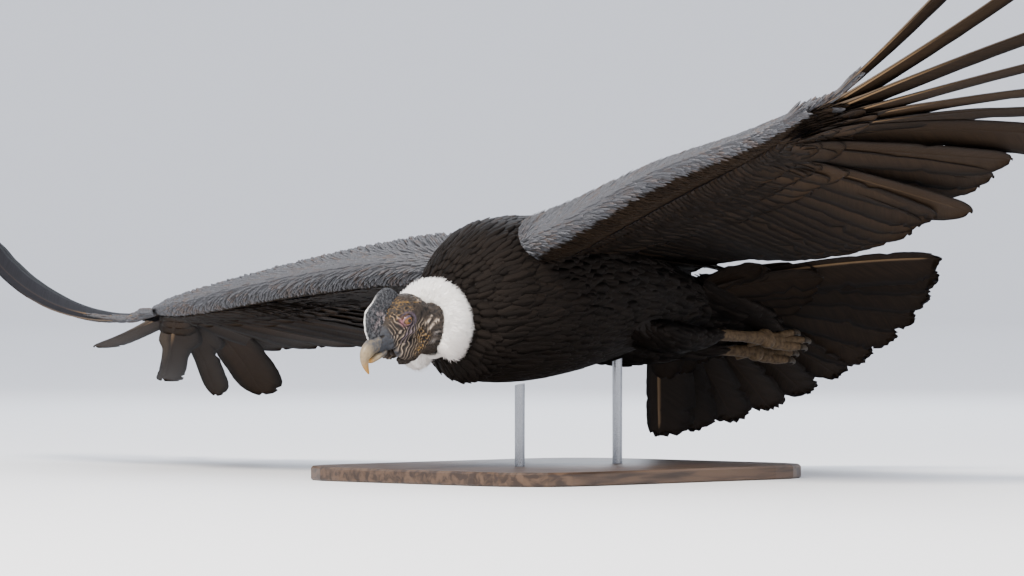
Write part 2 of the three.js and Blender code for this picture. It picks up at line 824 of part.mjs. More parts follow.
// Coverts of the given tiers that follow one flight feather along its bend
function coverts(feather, names, frameAt, u, scale = 1) {
  return names.map((name) => {
    const { at, lift, share, width } = tiers[name];
    const [rise, tipRise] = feather.rise;
    return {
      ...feather,
      root: coreAt(frameAt, u, at, 0).addScaledVector(frameAt(u).up, lift),
      rise: [rise, lerp(rise, tipRise, (share * scale) ** 1.3)],
      length: feather.length * share * scale,
      width: feather.width * width,
      thick: 2.4,
      outline: covertVane,
    };
  });
}

function handFeathers(pose, frameAt) {
  const last = outerPlan.length - 1;
  return outerPlan.map(({ length, width, notch, slim }, i) => {
    const u = lerp(wristAt + 0.025, 0.99, i / last);
    const [heading, low, high, roll] = pose.outer[i];
    const feather = {
      root: coreAt(frameAt, u, 0.45, 0.02),
      heading,
      rise: [low, high],
      length,
      width,
      side: pose.side,
      roll,
      outline: notch ? slottedVane(notch) : slim ? slimVane : broadVane,
      front: notch || slim ? 0.3 : 0.38,
    };
    const names = [i % 2 ? "greatUpper" : "greatUnder"];
    return [feather, ...coverts(feather, names, frameAt, u, 0.6)];
  });
}

// The two small feathers at the bend of the wing
function bendFeathers(pose, frameAt) {
  return [0, 1].map((i) => ({
    root: coreAt(frameAt, wristAt + 0.03 + 0.03 * i, 0.1, 0.3),
    heading: 16 + 6 * i,
    rise: [6, 14],
    length: 120 - 18 * i,
    width: 26,
    side: pose.side,
    roll: pose.roll,
    outline: covertVane,
    thick: 2.8,
  }));
}

// One wing in two pieces: the arm, and the hand cut clear of the arm's end and its last feathers
function wingSolids(pose) {
  const frameAt = wingFrame(pose);
  const stations = (from, to, steps) =>
    Array.from({ length: steps + 1 }, (_, i) => lerp(from, to, i / steps));
  const vanes = (list, grown) => list.map((vane) => vaneSolid(vane, birdFrame, grown));
  const armStations = stations(0, wristAt, 7);
  const armList = armFeathers(pose, frameAt);
  const arm = joined([wingCoreSolid(frameAt, armStations), ...vanes(armList.flat())]);
  const handStations = stations(wristAt - 0.005, 1, 5);
  const handList = [...handFeathers(pose, frameAt).flat(), ...bendFeathers(pose, frameAt)];
  const hand = joined([wingCoreSolid(frameAt, handStations), ...vanes(handList)]);
  const armEnd = wingCoreSolid(frameAt, [...armStations, wristAt + 0.001], clearance);
  return { arm, hand: cutBy(hand, [armEnd, ...vanes(armList.slice(-2).flat(), clearance)]) };
}

// Stand: a flat base with rounded corners and two rods that end at the body
function baseSolid() {
  const { length, width, thick, corner, bevel } = base;
  const x = width / 2 - bevel;
  const y = length / 2 - bevel;
  const shape = new THREE.Shape();
  shape.moveTo(-x + corner, -y);
  shape.lineTo(x - corner, -y);
  shape.quadraticCurveTo(x, -y, x, -y + corner);
  shape.lineTo(x, y - corner);
  shape.quadraticCurveTo(x, y, x - corner, y);
  shape.lineTo(-x + corner, y);
  shape.quadraticCurveTo(-x, y, -x, y - corner);
  shape.lineTo(-x, -y + corner);
  shape.quadraticCurveTo(-x, -y, -x + corner, -y);
  const settings = { bevelThickness: bevel, bevelSize: bevel, bevelSegments: 1, curveSegments: 5 };
  const plate = new THREE.ExtrudeGeometry(shape, { depth: thick - 2 * bevel, ...settings });
  plate.translate(0, 0, bevel);
  return solid(plate);
}

function rodSolid(y) {
  const top = bodyHeight;
  const bottom = base.thick + clearance;
  const shaft = new THREE.CylinderGeometry(rod.radius, rod.radius, top - bottom, rod.sides);
  shaft.rotateX(Math.PI / 2);
  shaft.translate(rod.x, y, (top + bottom) / 2);
  return cutBy(solid(shaft), [trunkSolid(clearance)]);
}

// Grown copies that keep neighbours apart
const trunkCutter = trunkSolid(clearance);
const neckCutter = neckSolid(clearance);
const skullCutter = skullSolid(clearance);
const rumpCutter = rumpSolid(clearance);
const ruffCutter = ruffRing(ruff.tube + 6, [10, 24]);

const object = new THREE.Group();
const add = (name, whole, material) => object.add(meshOf(name, whole, material));

function addHead() {
  const upperShape = { steps: 8, around: 10 };
  const lowerShape = { steps: 5, around: 8 };
  const upperCutter = headLimb(upperBill, upperShape, clearance);
  const lowerCutter = headLimb(lowerBill, lowerShape, clearance);
  const raised = [lidSolid(1), lidSolid(-1), ...headFolds(), ...combBulbs.map(bulbSolid)];
  const eyeCutters = [eyeSolid(1, clearance), eyeSolid(-1, clearance)];
  const headCutters = [...headCuts(), neckCutter, upperCutter, lowerCutter, ...eyeCutters];
  add("head", cutBy(joined([skullSolid(), ...raised]), headCutters), materials.skin);
  const bulbCutters = combBulbs.map(([x, y, z, size]) => bulbSolid([x, y, z, size + 2 * clearance]));
  add("comb", cutBy(combSolid(), [skullCutter, upperCutter, ...bulbCutters]), materials.comb);
  add("bill_upper", headLimb(upperBill, upperShape), materials.horn);
  add("bill_lower", cutBy(headLimb(lowerBill, lowerShape), [upperCutter]), materials.horn);
  const throat = joined([headLimb(lappet, { steps: 6, around: 7 }), ...chinBulbs.map(bulbSolid)]);
  add("wattle", cutBy(throat, [skullCutter, neckCutter, ruffCutter]), materials.skin);
  add("eye_left", eyeSolid(1), materials.iris);
  add("eye_right", eyeSolid(-1), materials.iris);
}

function addWings() {
  for (const [name, pose] of Object.entries(wings)) {
    const { arm, hand } = wingSolids(pose);
    add(`wing_${name}_arm`, cutBy(arm, [trunkCutter]), materials.flight);
    add(`wing_${name}_hand`, hand, materials.flight);
  }
}

function addLegs() {
  const thighShape = { steps: 7, around: 12, cap: 8 };
  const shankShape = { steps: 4, around: 8, cap: 2 };
  for (const [name, { thigh, shank }] of Object.entries(legs)) {
    const thighCutter = legPart(thigh, thighShape, clearance);
    const shankCutter = legPart(shank, shankShape, clearance);
    const wholeThigh = cutBy(legPart(thigh, thighShape), [trunkCutter, rumpCutter]);
    add(`thigh_${name}`, wholeThigh, materials.plumage);
    add(`shank_${name}`, cutBy(legPart(shank, shankShape), [thighCutter]), materials.scales);
    add(`foot_${name}`, cutBy(footSolid(shank), [shankCutter]), materials.scales);
  }
}

add("torso", trunkSolid(), materials.plumage);
add("neck", cutBy(neckSolid(), [trunkCutter]), materials.skin);
add("ruff", cutBy(ruffSolid(), [trunkCutter, neckCutter, skullCutter]), materials.down);
addHead();
addWings();
add("tail", cutBy(joined([rumpSolid(), ...tailFeathers()]), [trunkCutter]), materials.flight);
addLegs();
add("stand_base", baseSolid(), materials.wood);
add("stand_rod_front", rodSolid(rod.front), materials.steel);
add("stand_rod_rear", rodSolid(rod.rear), materials.steel);

export default object;
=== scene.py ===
# Andean condor, adult male, gliding in a gentle bank on a display stand
import math
import bpy
import numpy as np
from mathutils import Matrix, Vector, noise


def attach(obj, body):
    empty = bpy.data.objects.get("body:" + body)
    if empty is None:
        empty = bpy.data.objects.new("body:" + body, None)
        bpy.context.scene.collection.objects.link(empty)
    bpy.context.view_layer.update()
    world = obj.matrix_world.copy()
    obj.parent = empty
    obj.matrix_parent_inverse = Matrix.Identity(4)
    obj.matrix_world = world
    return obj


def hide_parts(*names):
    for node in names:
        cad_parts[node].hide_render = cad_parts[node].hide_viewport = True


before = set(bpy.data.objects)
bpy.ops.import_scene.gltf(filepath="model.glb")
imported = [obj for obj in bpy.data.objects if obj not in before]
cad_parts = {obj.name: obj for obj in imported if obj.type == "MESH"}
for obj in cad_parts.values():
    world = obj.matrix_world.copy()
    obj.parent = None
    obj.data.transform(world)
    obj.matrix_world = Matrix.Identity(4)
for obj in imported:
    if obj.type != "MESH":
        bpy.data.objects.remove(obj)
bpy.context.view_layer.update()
rng = np.random.default_rng(11)
scene = bpy.context.scene
mm = 0.001
print("frame loaded")

# Millimetres in the bird's own frame: left wing +X, tail +Y, up +Z
birdPose = {"height": 290, "bank": 13, "pitch": 3}
headPose = {"y": -370, "z": -61.5, "droop": 29, "yaw": 3.5}
tailPose = {"y": 304, "z": 10, "droop": 16, "twist": 15, "yaw": 1.5}
ruffPose = {"x": -10, "y": -285, "z": -60, "ring": 47, "yaw": 8}


def turned(degrees, axis):
    return Matrix.Rotation(math.radians(degrees), 4, axis)


birdFrame = (
    Matrix.Translation((0, 0, birdPose["height"]))
    @ turned(-birdPose["pitch"], "X")
    @ turned(-birdPose["bank"], "Y")
)
headFrame = (
    Matrix.Translation(birdFrame @ Vector((0, headPose["y"], headPose["z"])))
    @ turned(headPose["yaw"], "Z")
    @ turned(headPose["droop"], "X")
)
tailFrame = (
    birdFrame
    @ Matrix.Translation((0, tailPose["y"], tailPose["z"]))
    @ turned(-tailPose["yaw"], "Z")
    @ turned(-tailPose["droop"], "X")
    @ turned(-tailPose["twist"], "Y")
)
ruffFrame = (
    birdFrame
    @ Matrix.Translation((ruffPose["x"], ruffPose["y"], ruffPose["z"]))
    @ turned(ruffPose["yaw"], "Z")
    @ turned(90, "X")
)


def inWorld(matrix, points):  # millimetres in a frame to metres in the scene
    m = np.array(matrix)
    return (np.asarray(points, float) @ m[:3, :3].T + m[:3, 3]) * mm


def inFrame(matrix, points):  # and back
    return inWorld(matrix.inverted(), np.asarray(points) / mm) / mm


def unit(v):
    return v / np.maximum(np.linalg.norm(v, axis=-1, keepdims=True), 1e-9)


def turns(count):  # angles evenly round a circle
    return np.arange(count) / count * 2 * math.pi


def turnGrid(rings, around):  # the same round a ring and round its tube
    a, b = np.meshgrid(turns(rings), turns(around), indexing="ij")
    return a.ravel(), b.ravel()


def pointing(side, heading, rise):  # a direction from its heading and rise in degrees
    h, e = np.radians(heading), np.radians(rise)
    return np.stack([side * np.cos(h) * np.cos(e), np.sin(h) * np.cos(e), np.sin(e)], -1)


def spun(first, second, angle):  # two crossed directions turned together
    return first * np.cos(angle) + second * np.sin(angle), second * np.cos(angle) - first * np.sin(angle)


def sideAndUp(along):  # directions across a line
    side = unit(np.array([1.0, 0, 0]) - along * along[:, :1])
    return side, np.cross(along, side)


def lengthAlong(line):
    return np.concatenate([[0], np.cumsum(np.linalg.norm(np.diff(line, axis=0), axis=1))])


def clipped(low, high, value):  # 0 at low to 1 at high
    return np.clip((value - low) / (high - low), 0, 1)


def smooth(low, high, value):
    t = clipped(low, high, value)
    return t * t * (3 - 2 * t)


def between(pair, share):
    return pair[0] + (pair[1] - pair[0]) * share


def hermite(places, values, at):  # smooth values between places, for arrays
    xs, ys = np.asarray(places, float), np.asarray(values, float)
    n = len(xs)
    before, after = np.maximum(np.arange(n) - 1, 0), np.minimum(np.arange(n) + 1, n - 1)
    slopes = (ys[after] - ys[before]) / (xs[after] - xs[before])
    at = np.clip(at, xs[0], xs[-1])
    i = np.clip(np.searchsorted(xs, at) - 1, 0, n - 2)
    span = xs[i + 1] - xs[i]
    t = (at - xs[i]) / span
    return (
        (2 * t**3 - 3 * t**2 + 1) * ys[i]
        + (t**3 - 2 * t**2 + t) * span * slopes[i]
        + (3 * t**2 - 2 * t**3) * ys[i + 1]
        + (t**3 - t**2) * span * slopes[i + 1]
    )


def curvePoints(points, t):  # a smooth curve through points, t from 0 to 1 evenly over them
    p = np.asarray(points, float)
    p = np.vstack([2 * p[0] - p[1], p, 2 * p[-1] - p[-2]])
    place = np.clip(t, 0, 1) * (len(points) - 1)
    i = np.minimum(place.astype(int), len(points) - 2)
    w = (place - i)[:, None]
    a, b, c, d = (p[i + k] for k in range(4))
    step = [np.sqrt(np.linalg.norm(q - r, axis=1))[:, None] for q, r in ((a, b), (b, c), (c, d))]
    m1 = ((b - a) / step[0] - (c - a) / (step[0] + step[1]) + (c - b) / step[1]) * step[1]
    m2 = ((c - b) / step[1] - (d - b) / (step[1] + step[2]) + (d - c) / step[2]) * step[1]
    return b + m1 * w + (3 * (c - b) - 2 * m1 - m2) * w**2 + (2 * (b - c) + m1 + m2) * w**3


def evenCurve(points, steps=400):  # the same curve measured by its length
    line = curvePoints(points, np.linspace(0, 1, steps))
    gone = lengthAlong(line)
    share = gone / gone[-1]

    def at(u):
        return np.stack([np.interp(u, share, line[:, k]) for k in range(3)], -1)

    return at


def randoms(size, low=0.0, high=1.0):
    return rng.uniform(low, high, size)


def noiseAt(points, scale, seed=0.0):  # -1 to 1
    scale = np.broadcast_to(np.asarray(scale, float), (3,))
    return np.array([noise.noise(Vector(p)) for p in (points * scale + seed).tolist()])


# Meshes
def addValues(mesh, values):
    for key, value in dict(values).items():
        layer = mesh.attributes.new(key, "FLOAT", "POINT")
        layer.data.foreach_set("value", np.asarray(value, np.float32))


def makeMesh(name, points, faces, material, values=(), maps=()):
    mesh = bpy.data.meshes.new(name)
    mesh.from_pydata(np.asarray(points).tolist(), [], faces)
    corners = np.zeros(len(mesh.loops), np.int32)
    mesh.loops.foreach_get("vertex_index", corners)
    for key, places in dict(maps).items():
        layer = mesh.uv_layers.new(name=key)
        layer.data.foreach_set("uv", np.asarray(places, np.float32)[corners].ravel())
    addValues(mesh, values)
    mesh.polygons.foreach_set("use_smooth", [True] * len(mesh.polygons))
    mesh.materials.append(material)
    piece = bpy.data.objects.new(name, mesh)
    scene.collection.objects.link(piece)
    return piece


def vertexArray(piece, key="co"):
    values = np.zeros(len(piece.data.vertices) * 3)
    piece.data.vertices.foreach_get(key, values)
    return values.reshape(-1, 3)


def addRemesh(piece, voxel):  # melts the parts into one skin
    remesh = piece.modifiers.new("oneSkin", "REMESH")
    remesh.mode = "VOXEL"
    remesh.voxel_size = voxel * mm
    remesh.use_smooth_shade = True


def applyModifiers(piece):
    graph = bpy.context.evaluated_depsgraph_get()
    mesh = bpy.data.meshes.new_from_object(piece.evaluated_get(graph))
    old = piece.data
    piece.modifiers.clear()
    piece.data = mesh
    bpy.data.meshes.remove(old)


def ringFaces(rings, around, start=0):  # quads between closed rings
    faces = []
    for r in range(rings - 1):
        for i in range(around):
            a = start + r * around + i
            b = start + r * around + (i + 1) % around
            faces.append((a, b, b + around, a + around))
    return faces


def cappedFaces(rings, around):  # a closed tube: its end points come last, the start's before the end's
    faces = ringFaces(rings, around)
    count, last = rings * around, (rings - 1) * around
    for i in range(around):
        j = (i + 1) % around
        faces += [(count, j, i), (count + 1, last + i, last + j)]
    return faces


def copiedFaces(faces, count, per):  # the same faces for one small shape after another
    return [tuple(i + per * k for i in face) for k in range(count) for face in faces]


def loopFaces(rings, around):  # a ring of rings
    return [tuple(i % (rings * around) for i in face) for face in ringFaces(rings + 1, around)]


def settle(piece, slot, *nodes):  # rides on the body and stands for these nodes
    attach(piece, "root")
    if nodes:
        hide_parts(*nodes)
    return piece


# Shader helpers
def feed(tree, socket, value):  # joins a socket to another or sets its value
    if isinstance(value, bpy.types.NodeSocket):
        tree.links.new(value, socket)
    else:
        socket.default_value = value


def addNode(tree, kind, inputs=None, **settings):
    node = tree.nodes.new(kind)
    for key, value in settings.items():
        setattr(node, key, value)
    for key, value in (inputs or {}).items():
        feed(tree, node.inputs[key], value)
    return node


def math2(tree, operation, a, b=0.0, clamp=False):
    return addNode(tree, "ShaderNodeMath", {0: a, 1: b}, operation=operation, use_clamp=clamp).outputs[0]


def times(tree, a, b, clamp=False):
    return math2(tree, "MULTIPLY", a, b, clamp)


def plus(tree, a, b):
    return math2(tree, "ADD", a, b)


def mixColour(tree, factor, a, b):
    a, b = ((*tone, 1) if isinstance(tone, (tuple, list)) else tone for tone in (a, b))
    return addNode(tree, "ShaderNodeMix", {0: factor, 6: a, 7: b}, data_type="RGBA").outputs[2]


def ramp(tree, value, low, high, outLow=0.0, outHigh=1.0):
    inputs = {"Value": value, "From Min": low, "From Max": high, "To Min": outLow, "To Max": outHigh}
    return addNode(tree, "ShaderNodeMapRange", inputs, interpolation_type="SMOOTHSTEP").outputs["Result"]


def attribute(tree, name):
    return addNode(tree, "ShaderNodeAttribute", attribute_name=name).outputs["Fac"]


def newGroup(name, inputs, outputs):
    tree = bpy.data.node_groups.new(name, "ShaderNodeTree")
    for key, value in inputs.items():
        socket = tree.interface.new_socket(name=key, in_out="INPUT", socket_type="NodeSocketFloat")
        socket.default_value = value
    for key in outputs:
        tree.interface.new_socket(name=key, in_out="OUTPUT", socket_type="NodeSocketFloat")
    return tree, tree.nodes.new("NodeGroupInput").outputs, tree.nodes.new("NodeGroupOutput").inputs


def useGroup(tree, group, inputs):
    return addNode(tree, "ShaderNodeGroup", inputs, node_tree=group).outputs


def patchesOf(tree, size, detail, contrast):
    return useGroup(tree, mottle, {"Size": size, "Detail": detail, "Contrast": contrast})["Patches"]


def paint(tree, shader, colour):
    tree.links.new(colour, shader.inputs["Base Color"])


def addBump(tree, shader, height, strength, distance):
    bump = addNode(tree, "ShaderNodeBump", {"Strength": strength, "Distance": distance, "Height": height})
    tree.links.new(bump.outputs[0], shader.inputs["Normal"])


def newMaterial(name, settings):
    material = bpy.data.materials.new(name)
    material.use_nodes = True
    tree = material.node_tree
    shader = tree.nodes["Principled BSDF"]
    for key, value in settings.items():
        shader.inputs[key].default_value = value
    return material, tree, shader


def objectPlace(tree):
    return addNode(tree, "ShaderNodeTexCoord").outputs["Object"]


def barbGroup():  # fine lines that slant out from the shaft of a feather
    tree, given, out = newGroup(
        "featherBarbs", {"Spacing": 1.6, "Slant": 1.1, "Breaks": 0.5}, ("Lines", "Streaks"))
    place = addNode(tree, "ShaderNodeUVMap", uv_map="vane").outputs["UV"]
    split = addNode(tree, "ShaderNodeSeparateXYZ", {"Vector": place}).outputs
    across = math2(tree, "ABSOLUTE", split["X"])
    run = math2(tree, "SUBTRACT", split["Y"], times(tree, across, given["Slant"]))
    flat = addNode(tree, "ShaderNodeCombineXYZ", {"X": run, "Y": times(tree, split["X"], 0.06)})
    wobble = addNode(tree, "ShaderNodeTexNoise", {"Vector": flat.outputs[0], "Scale": 0.12, "Detail": 3.0})
    phase = math2(tree, "DIVIDE", run, given["Spacing"])
    phase = plus(tree, phase, times(tree, wobble.outputs["Fac"], 3.0))
    wave = math2(tree, "SINE", times(tree, phase, 2 * math.pi))
    tree.links.new(times(tree, plus(tree, wave, 1.0), 0.5), out["Lines"])
    coarse = addNode(tree, "ShaderNodeTexNoise", {"Vector": flat.outputs[0], "Scale": 0.35, "Detail": 4.0})
    breaks = times(tree, math2(tree, "SUBTRACT", coarse.outputs["Fac"], 0.5), given["Breaks"])
    tree.links.new(plus(tree, breaks, 0.5), out["Streaks"])
    return tree


def mottleGroup():  # soft patches over a large piece
    tree, given, out = newGroup("softMottle", {"Size": 20.0, "Detail": 4.0, "Contrast": 1.0}, ("Patches",))
    inputs = {"Vector": objectPlace(tree), "Scale": given["Size"], "Detail": given["Detail"]}
    texture = addNode(tree, "ShaderNodeTexNoise", inputs)
    centred = math2(tree, "SUBTRACT", texture.outputs["Fac"], 0.5)
    tree.links.new(plus(tree, times(tree, centred, given["Contrast"]), 0.5), out["Patches"])
    return tree


barbs = barbGroup()
mottle = mottleGroup()


# Camera, floor and lights
view = {"azimuth": 44, "distance": 9.0, "perMetre": 630, "spot": (557, 296), "picture": (1024, 576)}


def makeCamera():
    a = math.radians(view["azimuth"])
    right = Vector((math.cos(a), math.sin(a), 0))
    back = Vector((math.sin(a), -math.cos(a), 0))
    width, height = view["picture"]
    aside = (view["spot"][0] - width / 2) / view["perMetre"]
    above = (view["spot"][1] - height / 2) / view["perMetre"]
    data = bpy.data.cameras.new("camera")
    data.sensor_width = 36
    data.lens = 36 * view["perMetre"] * view["distance"] / width
    camera = bpy.data.objects.new("camera", data)
    middle = Vector((0, 0, birdPose["height"] * mm))
    camera.location = middle + back * view["distance"] - right * aside + Vector((0, 0, above))
    camera.rotation_euler = (math.pi / 2, 0, a)
    scene.collection.objects.link(camera)
    scene.camera = camera


studio = {
    "floorRadius": 40.0, "wallRadius": 48.0, "wallHeight": 24.0, "floorColour": (0.80, 0.80, 0.81),
    "floorRings": 6, "bendRings": 8, "around": 96, "aim": (0, 0, 0.3),
    "world": (0.86, 0.90, 1.0), "worldStrength": 1.75,
    "lamps": [
        {"name": "key", "at": (1.5, -4.5, 4.8), "size": 2.4, "power": 850, "colour": (1.0, 0.94, 0.86)},
        {"name": "fill", "at": (5.5, 0.5, 2.2), "size": 3.5, "power": 70, "colour": (1.0, 0.96, 0.92)},
        {"name": "rim", "at": (-3.5, 4.5, 4.0), "size": 3.0, "power": 200, "colour": (0.85, 0.92, 1.0)},
    ],
}


def makeStudio():
    material, tree, shader = newMaterial("paleFloor", {"Roughness": 0.9, "Specular IOR Level": 0.2})
    patches = patchesOf(tree, 1.2, 2.0, 0.05)
    pale = studio["floorColour"]
    tint = mixColour(tree, patches, [c * 0.96 for c in pale], pale)
    paint(tree, shader, tint)
    radius, wall, around = studio["floorRadius"], studio["wallRadius"], studio["around"]
    rings, bends = studio["floorRings"], studio["bendRings"]
    profile = [(radius * (k + 1) / rings, 0.0) for k in range(rings)]
    for k in range(bends):
        a = (k + 1) / bends * math.pi / 2
        profile.append((radius + (wall - radius) * math.sin(a), (wall - radius) * (1 - math.cos(a))))
    profile.append((wall, studio["wallHeight"]))
    points = [(0, 0, 0)] + [(r * math.cos(a), r * math.sin(a), z) for r, z in profile for a in turns(around)]
    faces = [(0, 1 + i, 1 + (i + 1) % around) for i in range(around)]
    faces += [face[::-1] for face in ringFaces(len(profile), around, start=1)]
    floor = makeMesh("studioFloor", points, faces, material)
    world = bpy.data.worlds.new("studioLight")
    scene.world = world
    world.use_nodes = True
    background = world.node_tree.nodes["Background"]
    background.inputs["Color"].default_value = (*studio["world"], 1)
    background.inputs["Strength"].default_value = studio["worldStrength"]
    for lamp in studio["lamps"]:
        data = bpy.data.lights.new(lamp["name"], "AREA")
        data.shape = "DISK"
        data.size = lamp["size"]
        data.energy = lamp["power"]
        data.color = lamp["colour"]
        light = bpy.data.objects.new(lamp["name"], data)
        light.location = lamp["at"]
        aim = Vector(studio["aim"]) - light.location
        light.rotation_euler = aim.to_track_quat("-Z", "Y").to_euler()
        scene.collection.objects.link(light)


makeCamera()
makeStudio()
print("studio ready")

# Trunk sections from the neck to the rump: y, middle z, half width, height above, depth below
trunk = np.array([
    (-280, -40, 50, 52, 52), (-245, -30, 86, 90, 112), (-190, -16, 120, 122, 134), (-110, -4, 140, 130, 144),
    (-15, 2, 138, 120, 136), (85, 6, 122, 100, 116), (175, 8, 100, 78, 92), (260, 6, 74, 54, 66),
    (325, 0, 48, 34, 42), (358, -4, 26, 18, 24),
])
neck = np.array([
    (-358, -59, 27, 27, 29), (-336, -56, 33, 33, 41), (-320, -52, 31, 30, 40), (-302, -48, 37, 37, 45),
    (-290, -45, 34, 34, 36), (-262, -40, 42, 42, 44),
])
rump = np.array([
    (-10, -2, 66, 26, 34), (40, -2, 66, 21, 27), (90, -2, 58, 14, 18), (130, -2, 36, 7, 9),
])
skull = np.array([
    (-62, -8, 9.5, 12, 13), (-50, -8, 13, 17, 16), (-36, -6, 20, 23, 22), (-20, -3, 28, 30, 30),
    (0, 0, 34, 35, 36), (22, 1, 35, 35, 38), (40, -2, 31, 30, 35), (54, -6, 23, 22, 27),
])


def bodyPoint(sections, y, angle, inset=0.0):  # a point on a rounded body through its sections
    field = [hermite(sections[:, 0], sections[:, k], y) for k in range(5)]
    height = np.sin(angle)
    reach = np.where(height > 0, field[3], field[4]) - inset
    return np.stack([(field[2] - inset) * np.cos(angle), y + 0 * angle, field[1] + height * reach], -1)


def bodyLoft(sections, frameMatrix, steps, around, inset=0.0, caps=(6, 6)):
    ys = np.linspace(sections[0, 0], sections[-1, 0], steps)
    grid = bodyPoint(sections, *np.meshgrid(ys, turns(around), indexing="ij"), inset).reshape(-1, 3)
    ends = np.array([
        (0, sections[0, 0] - caps[0] + inset, sections[0, 1]),
        (0, sections[-1, 0] + caps[1] - inset, sections[-1, 1]),
    ])
    return inWorld(frameMatrix, np.vstack([grid, ends])), cappedFaces(steps, around)


def limbLoft(sections, frameMatrix, steps, around, inset=0.0, cap=2.0):  # x, y, z, half width, half height
    sections = np.asarray(sections, float)
    t = np.linspace(0, 1, steps)
    line = curvePoints(sections[:, :3], t)
    along = unit(curvePoints(sections[:, :3], t + 0.01) - curvePoints(sections[:, :3], t - 0.01))
    along[0], along[-1] = unit(line[1] - line[0]), unit(line[-1] - line[-2])
    side, up = sideAndUp(along)
    places = np.linspace(0, 1, len(sections))
    wide, high = ((hermite(places, sections[:, k], t) - inset)[:, None, None] for k in (3, 4))
    a = turns(around)[None, :, None]
    grid = line[:, None] + side[:, None] * wide * np.cos(a) + up[:, None] * high * np.sin(a)
    ends = np.array([line[0] - along[0] * cap, line[-1] + along[-1] * cap])
    return inWorld(frameMatrix, np.vstack([grid.reshape(-1, 3), ends])), cappedFaces(steps, around)


def joinedMesh(parts):
    points, faces, start = [], [], 0
    for p, f in parts:
        points.append(p)
        faces += [tuple(i + start for i in face) for face in f]
        start += len(p)
    return np.vstack(points), faces


# Wings: the same plan as the solids, with more feathers
wristAt = 0.81
wingCore = {
    "u": [0, 0.25, 0.55, 0.81, 0.92, 1],
    "deep": [235, 250, 225, 165, 115, 70],
    "thick": [76, 60, 42, 29, 20, 12],
    "heading": (95, 33),
}
coreRound = {  # height of the core over its chord: minus for the underside, by the root of the depth share
    "q": [-1, -0.866, -0.632, -0.374, -0.187, 0, 0.187, 0.374, 0.632, 0.866, 1],
    "h": [-0.1, -0.22, -0.4, -0.42, -0.26, 0, 0.3, 0.5, 0.47, 0.27, 0.14],
}
wingPoses = {  # outer: heading, rise at the root and the tip, roll
    "left": {
        "side": 1, "roll": 8,
        "edge": [(50, -150, 50), (110, -182, 52), (230, -212, 58), (440, -240, 79), (650, -262, 79),
                 (742, -243, 93)],
        "slope": [(0, 3), (0.09, 2), (0.28, -0.1), (0.44, -4.9), (0.57, -8.2), (0.72, -9.3), (0.81, -7.9),
                  (1, -2)],
        "outer": [(85.5, -4.5, -4.5, 12), (82.5, -4, -4, 14), (77.5, -2.5, -2.5, 16), (71, 5, -9, 16),
                  (61, 6, -7, 4), (52, 7, -5, 3), (39.5, 8, 4, 5), (28, 13, 4, 10), (18, 18, 25, 6),
                  (8, 26, 34, 0)],
    },
    "right": {
        "side": -1, "roll": 4,
        "edge": [(50, -150, 54), (110, -182, 74), (230, -212, 94), (440, -240, 110), (636, -238, 121),
                 (752, -168, 142)],
        "slope": [(0, -2), (0.3, -4), (0.55, -4), (0.8, -4), (1, -1)],
        "outer": [(79, -5, 1, 2), (71, -2, 0, 2), (64, -2, 2, 2), (56.5, 5, -20, 8), (48, 3, -11, 12),
                  (40.5, -4, 8, 12), (31.5, 6.7, 8, 10), (17, 6.5, 40, -6), (8.5, 7, 54, -18),
                  (0, 5.5, 64, -30)],
    },
}
# Outer feathers from the wrist to the tip: length, width, where the long ones narrow, how far coverts reach
outerPlan = [
    (457, 80, None, 0.34), (451, 80, None, 0.34), (446, 84, None, 0.34), (552, 92, None, 0.28),
    (618, 82, 0.5, 0.26), (660, 82, 0.3, 0.24), (680, 78, 0.16, 0.18), (676, 78, 0.1, 0.13),
    (636, 76, 0.08, 0.10), (556, 70, "slim", 0.06),
]
innerPlan = {
    "count": 28, "from": 0.035, "to": 0.826, "sag": -3, "reach": 0.44,
    "u": [0.04, 0.12, 0.3, 0.55, 0.74, 0.8, 0.826],
    "heading": [97, 97, 96, 95, 93, 89, 87],
    "length": [345, 372, 391, 383, 394, 398, 432],
    "width": [78, 80, 82, 86, 86, 86, 84],
}


def coreSizes(u):  # the core's depth and thickness
    return (hermite(wingCore["u"], wingCore[key], u) for key in ("deep", "thick"))


class WingFrame:  # places and directions along one wing
    def __init__(self, pose):
        self.side = pose["side"]
        mirror = np.array([pose["side"], 1, 1])
        self.edge = evenCurve(np.array(pose["edge"], float) * mirror)
        self.slope = np.array(pose["slope"], float)

    def rise(self, u):
        return hermite(self.slope[:, 0], self.slope[:, 1], u)

    def axes(self, u):
        u = np.atleast_1d(np.asarray(u, float))
        armHeading, handTurn = wingCore["heading"]
        heading = armHeading - handTurn * np.maximum(u - wristAt, 0) / (1 - wristAt)
        back = pointing(self.side, heading, self.rise(u))
        low, high = np.clip(u - 0.004, 0, 1), np.clip(u + 0.004, 0, 1)
        out = unit(self.edge(high) - self.edge(low))
        up = unit(np.cross(out, back)) * self.side
        return self.edge(u), back, up, out

    def core(self, u, share, height):  # a point in the core, by shares of its depth and thickness
        lead, back, up, _ = self.axes(u)
        deep, thick = coreSizes(u)
        return lead + back * np.reshape(share * deep, (-1, 1)) + up * np.reshape(height * thick, (-1, 1))

    def surface(self, u, q, inset=0.0):  # the core's skin: q from -1 below to 1 above, 0 at the edge
        lead, back, up, _ = self.axes(u)
        deep, thick = coreSizes(u)
        behind = q * q * deep + inset * (1 - np.abs(q))
        above = hermite(coreRound["q"], coreRound["h"], q) * thick - inset * np.sign(q) * np.abs(q) ** 0.5
        return lead + back * np.reshape(behind, (-1, 1)) + up * np.reshape(above, (-1, 1))


wingFrames = {name: WingFrame(pose) for name, pose in wingPoses.items()}


